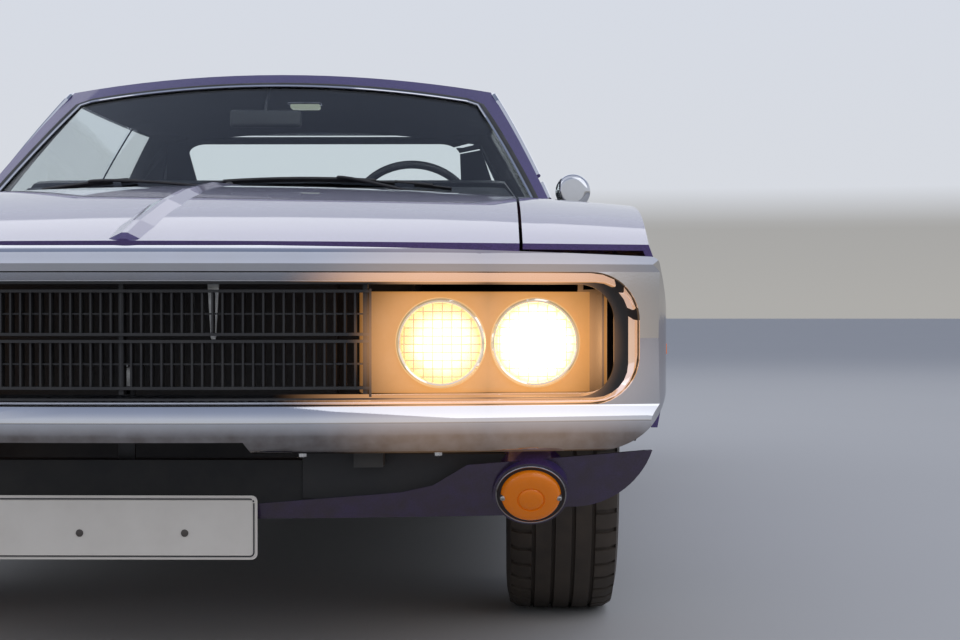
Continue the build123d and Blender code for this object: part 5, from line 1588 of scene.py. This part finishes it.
def addLip(side, end, panel, place, radius):
    nodeName = f"{panel}_{sideNames[side]}"
    path = []
    for step in range(49):
        turn = radians(-4 + 188 * step / 48)
        y, z = placeY(place) - (radius + 0.006) * cos(turn), carPlan["wheelHeight"] + (radius + 0.006) * sin(turn)
        seat, facing = touchSide(nodeName, side, y, z, reach=0.8)
        if seat is not None and abs(facing.x) > 0.5:
            path.append((seat, facing))
    lip = moulded(path, [(-0.0065, -0.003), (-0.0065, 0.0012), (-0.0030, 0.0026), (0.0030, 0.0026),
                         (0.0060, 0.0012), (0.0065, -0.001)])
    settle(lip, f"wheel_lip_{end}_{sideNames[side]}", "chrome")


for side in sideNames:
    for row in bodyFittings["markers"]:
        addMarker(side, *row)
    for row in bodyFittings["lips"]:
        addLip(side, *row)
addFuelCap(bodyFittings)
print("body fittings made")

# Wheel nuts, centre caps and valves
wheelFittings = {"capSeat": 0.0585, "nutSeat": 0.036, "nutCircle": 0.062, "valve": (0.046, 0.1600)}


def addWheelFittings(s, side, end, halfTrack, place):
    sideName = sideNames[side]
    hub = Vector((side * halfTrack, placeY(place), carPlan["wheelHeight"]))
    out = Vector((side, 0, 0))
    cap = turned([(-0.004, 0.0335), (0.0040, 0.0335), (0.0075, 0.0315), (0.0120, 0.0260), (0.0150, 0.0180),
                  (0.0165, 0.0)], hub + out * s["capSeat"], out, 48)
    settle(cap, f"wheel_cap_{end}_{sideName}", "chrome", f"wheel_{end}_{sideName}")
    nuts = []
    for step in range(5):
        turn = 2 * pi * step / 5 + pi / 2
        seat = hub + out * s["nutSeat"] + Vector((0, cos(turn), sin(turn))) * s["nutCircle"]
        nuts.append(turned([(-0.004, 0.0135), (0.0030, 0.0135), (0.0045, 0.0105), (0.0170, 0.0105),
                            (0.0200, 0.0080), (0.0210, 0.0)], seat, out, 6))
    settle(joined(nuts), f"wheel_nuts_{end}_{sideName}", "chrome", f"wheel_{end}_{sideName}", smooth=25)
    valve = turned([(-0.006, 0.0060), (0.004, 0.0052), (0.006, 0.0038), (0.022, 0.0038), (0.024, 0.0030),
                    (0.024, 0.0)], hub + out * s["valve"][0] + Vector((0, 0, s["valve"][1])), (side, 0, -0.25), 16)
    settle(valve, f"wheel_valve_{end}_{sideName}", "sealRubber", f"wheel_{end}_{sideName}", slot=None)


for side in sideNames:
    for end, axle in carPlan["axles"].items():
        addWheelFittings(wheelFittings, side, end, *axle)
print("wheel fittings made")


def rectLoop(x, z, halfWidth, halfHeight, corner, y):
    # a rounded rectangle facing along the car
    corners = roundedCorners(halfWidth, -halfHeight, halfHeight, corner, 6)
    return [Vector((x + across, y, z + up)) for bend in corners for across, up in bend]


# Tail lamps: ribbed red lenses in bright rims, with a clear reversing lamp at each inner end
tailShape = {
    "middle": (0.460, 0.760),
    "half": (0.3395, 0.0595),
    "corner": 0.0395,
    "seat": 2.5385,
    "lens": [(0.0, 0.0), (0.0185, 0.0), (0.0225, 0.0015), (0.0245, 0.0045), (0.0252, 0.010)],
    "ribs": 5,
    "ribPitch": 0.0185,
    "postPitch": 0.166,
    "reversingAt": 0.185,
    "panel": 2.5565,
}


def addTailLamp(s, side):
    x, z = side * s["middle"][0], s["middle"][1]
    sideName = sideNames[side]
    loops = [rectLoop(x, z, s["half"][0] - inset, s["half"][1] - inset, s["corner"] - inset,
                      s["seat"] + rise) for rise, inset in s["lens"]]
    lens = [skinned(loops, True, True)]
    for rib in range(s["ribs"]):
        middle = (x, s["seat"] + 0.0258, z + (rib - (s["ribs"] - 1) / 2) * s["ribPitch"])
        lens.append(roundedBlock((2 * s["half"][0] - 0.030, 0.0060, 0.0050), middle, 0.0022, 3))
    for step in range(3):
        middle = (x + (step - 1) * s["postPitch"], s["seat"] + 0.0262, z)
        lens.append(roundedBlock((0.0060, 0.0060, 0.096), middle, 0.0024, 3))
    settle(joined(lens), "tail_lens_" + sideName, "redLens", smooth=40, standsFor=["tail_lamps"])
    outline = rectLoop(x, z, s["half"][0] + 0.004, s["half"][1] + 0.004, s["corner"] + 0.004, s["panel"])
    path = [(point, Vector((0, 1, 0))) for point in outline]
    rim = moulded(path, [(-0.0045, -0.001), (-0.0045, 0.0050), (-0.0020, 0.0078), (0.0020, 0.0078),
                         (0.0055, 0.0040), (0.0065, -0.001)], True)
    settle(rim, "tail_rim_" + sideName, "chrome")
    reverse = roundedBlock((0.090, 0.0040, 0.050), (side * s["reversingAt"], s["seat"] + 0.0272, z), 0.0018, 3)
    settle(reverse, "reversing_lens_" + sideName, "plateWhite", slot="clear_glass")


def addPlateLine(name, x, z, width, height, y, way):
    path = [(point, Vector((0, way, 0))) for point in rectLoop(x, z, width / 2, height / 2, 0.007, y)]
    line = moulded(path, [(-0.0013, -0.0006), (-0.0013, 0.0003), (0.0013, 0.0003), (0.0013, -0.0006)], True)
    settle(line, name, "blackSteel", slot=None)


addPlateLine("front_plate_line", *plateShape["middle"], plateShape["width"] - 2 * plateShape["lineInset"],
             plateShape["height"] - 2 * plateShape["lineInset"], placeY(plateShape["place"]) - plateShape["rise"],
             -1)
for side in sideNames:
    addTailLamp(tailShape, side)
print("tail lamps made")

# Rear plate on the bumper, and bright tips on the two tailpipes
rearFittings = {
    "plate": (0.460, 0.100, 2.6435, 0.570),
    "plateEdge": [(0.0005, 0.0), (0.0030, 0.0), (0.0036, 0.0008), (0.0036, 0.0040), (0.0026, 0.0050),
                  (0.0026, 0.0060)],  # outward, inset
    "screwAt": 0.170,
    "pipe": (0.230, 2.552, 0.214, 0.024),
}


def addRearFittings(s):
    width, height, y, z = s["plate"]
    holder = roundedBlock((width + 0.008, 0.012, height + 0.008), (0, y - 0.005, z), 0.003, 3)
    settle(holder, "rear_plate_holder", "blackVinyl", slot=None)
    loops = [rectLoop(0, z, width / 2 - inset, height / 2 - inset, 0.010 - inset * 0.5, y + rise)
             for rise, inset in s["plateEdge"]]
    settle(skinned(loops, True, True), "rear_plate", "plateWhite")
    for side in (-1, 1):
        screw = turned([(-0.001, 0.0055), (0.0012, 0.0055), (0.0026, 0.0040), (0.0032, 0.0)],
                       (side * s["screwAt"], y + 0.0026, z), (0, 1, 0), 20)
        settle(screw, "rear_plate_screw_" + sideNames[side], "screwSteel")
        x, end, height, radius = s["pipe"]
        tip = turned([(-0.060, radius + 0.0002), (-0.058, radius + 0.0040), (0.012, radius + 0.0050),
                      (0.052, radius + 0.0058), (0.0560, radius + 0.0052), (0.0555, radius + 0.0034),
                      (0.020, radius + 0.0020), (0.0006, radius - 0.0004), (0.0006, 0.0)], (side * x, end, height),
                     (0, 1, 0), 48)
        settle(tip, "exhaust_tip_" + sideNames[side], "chrome")


addRearFittings(rearFittings)

# Bright surround of the rear window
backlightPlan = {
    "foot": (3.915, 1.000),
    "back": 0.511,
    "up": 0.284,
    "rake": atan2(0.284, 0.511),
    "corners": [(0.000, 1.0045), (0.600, 1.0045), (0.636, 1.0100), (0.6440, 1.0300), (0.6440, 1.1080),
                (0.6350, 1.1280), (0.5560, 1.2640), (0.5400, 1.2760), (0.5000, 1.2800), (0.000, 1.2800)],
}


def addBacklightTrim(s):
    half = spread(s["corners"], 0.05)
    whole = half + [(-x, z) for x, z in reversed(half[1:-1])]
    outward = Vector((0, sin(s["rake"]), cos(s["rake"])))
    path = [(Vector((x, placeY(s["foot"][0] - (z - s["foot"][1]) * s["back"] / s["up"]), z)), outward)
            for x, z in whole]
    trim = moulded(path, [(-0.0040, -0.002), (-0.0040, 0.0030), (-0.0015, 0.0046), (0.0050, 0.0046),
                          (0.0090, 0.0020), (0.0095, -0.001)], True)
    settle(trim, "backlight_surround", "chrome")


addBacklightTrim(backlightPlan)
print("rear fittings made")

# Padded top of the dash, its front edge following the windshield, and the dark frame inside the rear window
dashTop = {
    "halfWidth": 0.700,
    "profile": [(1.770, 0.900), (1.775, 0.930), (1.830, 0.958), (1.900, 0.986), (1.960, 1.003), (2.020, 1.014),
                (2.062, 1.016), (2.086, 1.008), (2.099, 0.992), (2.103, 0.972), (2.100, 0.950), (2.088, 0.932),
                (2.060, 0.915), (2.030, 0.900)],
    "under": 0.022,
    "frameOpening": (0.497, 0.060, 0.535, 0.072),
    "frameMiddle": 0.300,
    "frameOutline": [(1, 0, 0.648), (0.06, 1, 0.303), (0, -1, 0.298), (0.9653, 0.2614, 0.6059)],
    "frameDepth": (0.0095, 0.0155),
}


def addDashTop(s):
    loops = []
    for step in range(33):
        x = s["halfWidth"] * (step - 16) / 16
        share = sqrt(max(0.0, 1.0 - max(0.0, (abs(x) - 0.640) / 0.0605) ** 2))
        loop = []
        for place, z in s["profile"]:
            along = (place - glassPlan["foot"][0] - 0.5615 * (x * x / 5.5)) / cos(glassPlan["rake"])
            ceiling = onWindshield(x, along).z - s["under"]
            loop.append(Vector((x, placeY(place),
                                min(0.9 + (z - 0.9) * (0.35 + 0.65 * share), max(0.890, ceiling)))))
        loops.append(loop)
    settle(skinned(loops, True, True), "dash_top_pad", "blackVinyl", smooth=60)


def toOutline(point, s):
    # where the line from the window's middle through a point meets the window's outline
    across, up = point[0], point[1] - s["frameMiddle"]
    slopes = [(a * abs(across) + b * up, limit) for a, b, limit in s["frameOutline"]]
    reach = min(limit / slope for slope, limit in slopes if slope > 1e-6)
    return across * reach, s["frameMiddle"] + up * reach


def addBacklightFrame(s):
    rake = backlightPlan["rake"]
    inward = Vector((0, -sin(rake), -cos(rake)))
    near, far = s["frameDepth"]
    inner = sum(roundedCorners(*s["frameOpening"], 8), [])
    outer = [toOutline(point, s) for point in inner]

    def seated(points, depth):
        base = Vector((0, placeY(backlightPlan["foot"][0]), backlightPlan["foot"][1])) + inward * depth
        return [base + Vector((x, -along * cos(rake), along * sin(rake))) for x, along in points]

    loops = [seated(outer, near), seated(inner, near), seated(inner, far), seated(outer, far)]
    frameRing = skinned(loops + [loops[0]])
    weld(frameRing)
    settle(frameRing, "backlight_inner_frame", "headliner", smooth=40)


addDashTop(dashTop)
addBacklightFrame(dashTop)
print("dash top and rear window frame made")

# Instruments, knobs and wheel boss
dashShape = {
    "face": 2.1002,
    "dials": [(0.315, 0.856, 0.034), (0.451, 0.856, 0.034), (0.2530, 0.856, 0.0165), (0.5130, 0.856, 0.0165)],
    "knobs": [(0.262, 0.813), (0.298, 0.813), (0.468, 0.813), (0.504, 0.813)],
    "boss": (0.383, 2.350, 0.905),
    "columnTilt": 24,
    "sweep": 130,
    "needleTurn": -128,
}


def addDash(s):
    y = placeY(s["face"])
    rims, faces, marks, needles = [], [], [], []
    for x, z, radius in s["dials"]:
        centre = Vector((x, y, z))
        rims.append(turned([(-0.001, radius + 0.0050), (0.0050, radius + 0.0045), (0.0085, radius + 0.0020),
                            (0.0080, radius), (0.0010, radius - 0.0015)], centre, (0, 1, 0), 56))
        faces.append(turned([(0.0006, radius), (0.0014, radius * 0.98), (0.0014, 0.0)], centre, (0, 1, 0), 40))
        count = 21 if radius > 0.02 else 9
        for step in range(count):
            turn = radians(s["sweep"] * (2 * step / (count - 1) - 1))
            long = radius * (0.20 if step % 2 == 0 else 0.11)
            away = radius * 0.93 - long / 2
            seat = centre + Vector((sin(turn) * away, 0.0019, cos(turn) * away))
            marks.append(roundedBlock((0.0010, 0.0008, long), seat, 0.0002, 1, (0, turn, 0)))
        turn, away = radians(s["needleTurn"]), radius * 0.30
        seat = centre + Vector((sin(turn) * away, 0.0034, cos(turn) * away))
        needles.append(roundedBlock((0.0016, 0.0010, radius * 0.78), seat, 0.0004, 2, (0, turn, 0)))
        needles.append(turned([(0.0014, 0.0040), (0.0045, 0.0036), (0.0050, 0.0)], centre, (0, 1, 0), 20))
    settle(joined(rims), "dial_rims", "chrome")
    settle(joined(faces), "dial_faces", "blackSteel", slot="black_vinyl")
    settle(joined(marks), "dial_marks", "plateWhite")
    settle(joined(needles), "dial_needles", "redLens")
    knobs = [turned([(-0.001, 0.0075), (0.010, 0.0070), (0.014, 0.0080), (0.018, 0.0072), (0.0195, 0.0)], (x, y, z),
                    (0, 1, 0), 20) for x, z in s["knobs"]]
    settle(joined(knobs), "dash_knobs", "satinChrome")
    x, place, z = s["boss"]
    centre = Vector((x, placeY(place), z))
    axis = Vector((0, cos(radians(s["columnTilt"])), sin(radians(s["columnTilt"]))))
    boss = turned([(-0.001, 0.0360), (0.0045, 0.0360), (0.0080, 0.0320), (0.0095, 0.0240), (0.0125, 0.0220),
                   (0.0145, 0.0120), (0.0150, 0.0)], centre + axis * 0.020, axis, 48)
    settle(boss, "steering_boss", "satinChrome", "steering_wheel")


addDash(dashShape)
print("instruments made")

# Engine dressing: air-cleaner lid, rocker covers, hose and fan
engineShape = {
    "cleaner": (0.0, 0.980, 0.810, 0.190),
    "cover": (0.235, 1.040, 0.685),
    "coverFacing": (0.634, 0.775),
    "hoseRadius": 0.021,
    "hose": [(0.190, 0.538, 0.716), (0.190, 0.600, 0.716), (0.176, 0.680, 0.700), (0.120, 0.735, 0.680),
             (0.080, 0.756, 0.680)],
    "fan": (0.700, 0.480),
    "blades": 5,
    "bladeAt": 0.110,
}


def addEngineDress(s):
    x, place, z, radius = s["cleaner"]
    top = Vector((x, placeY(place), z))
    lid = turned([(-0.003, radius - 0.002), (-0.003, radius + 0.006), (0.004, radius + 0.006),
                  (0.007, radius - 0.004), (0.006, radius - 0.030), (0.009, radius - 0.060), (0.009, 0.040),
                  (0.006, 0.030), (0.006, 0.0)], top, (0, 0, 1), 72)
    settle(lid, "air_cleaner_lid", "blackSteel")
    nut = turned([(0.004, 0.0070), (0.012, 0.0070), (0.013, 0.0040), (0.022, 0.0035), (0.022, 0.0)], top, (0, 0, 1),
                 20)
    wings = [nut] + [roundedBlock((0.024, 0.0035, 0.014), top + Vector((turn * 0.013, 0, 0.014)), 0.0014, 2,
                                  (0, turn * radians(-24), 0)) for turn in (-1, 1)]
    settle(joined(wings), "air_cleaner_nut", "screwSteel", slot="bright_trim")
    across, place, height = s["cover"]
    for side in sideNames:
        facing = Vector((side * s["coverFacing"][0], 0, s["coverFacing"][1])).normalized()
        middle = Vector((side * across, placeY(place), height)) + facing * 0.026
        tilt = side * atan2(*s["coverFacing"])
        parts = [roundedBlock((0.118, 0.540, 0.056), middle, 0.014, 4, (0, tilt, 0))]
        for rib in range(7):
            seat = middle + facing * 0.029 + Vector((0, (rib - 3) * 0.062, 0))
            parts.append(roundedBlock((0.092, 0.006, 0.006), seat, 0.0022, 2, (0, tilt, 0)))
        settle(joined(parts), "rocker_cover_" + sideNames[side], "engineIron")
    hose = tubeAlong([(x, placeY(place), z) for x, place, z in s["hose"]], s["hoseRadius"])
    settle(hose, "radiator_pipe", "sealRubber")
    hub = Vector((0, placeY(s["fan"][0]), s["fan"][1]))
    fan = [turned([(-0.002, 0.060), (0.014, 0.060), (0.018, 0.052), (0.018, 0.030), (0.040, 0.030), (0.042, 0.0)],
                  hub, (0, -1, 0), 36)]
    for blade in range(s["blades"]):
        turn = 2 * pi * blade / s["blades"]
        seat = hub + Vector((sin(turn) * s["bladeAt"], -0.030, cos(turn) * s["bladeAt"]))
        fan.append(roundedBlock((0.070, 0.0040, 0.130), seat, 0.0015, 2, (0, turn, 0)))
    settle(joined(fan), "cooling_fan", "boltZinc", slot="black_steel")


addEngineDress(engineShape)
print("engine dressed")
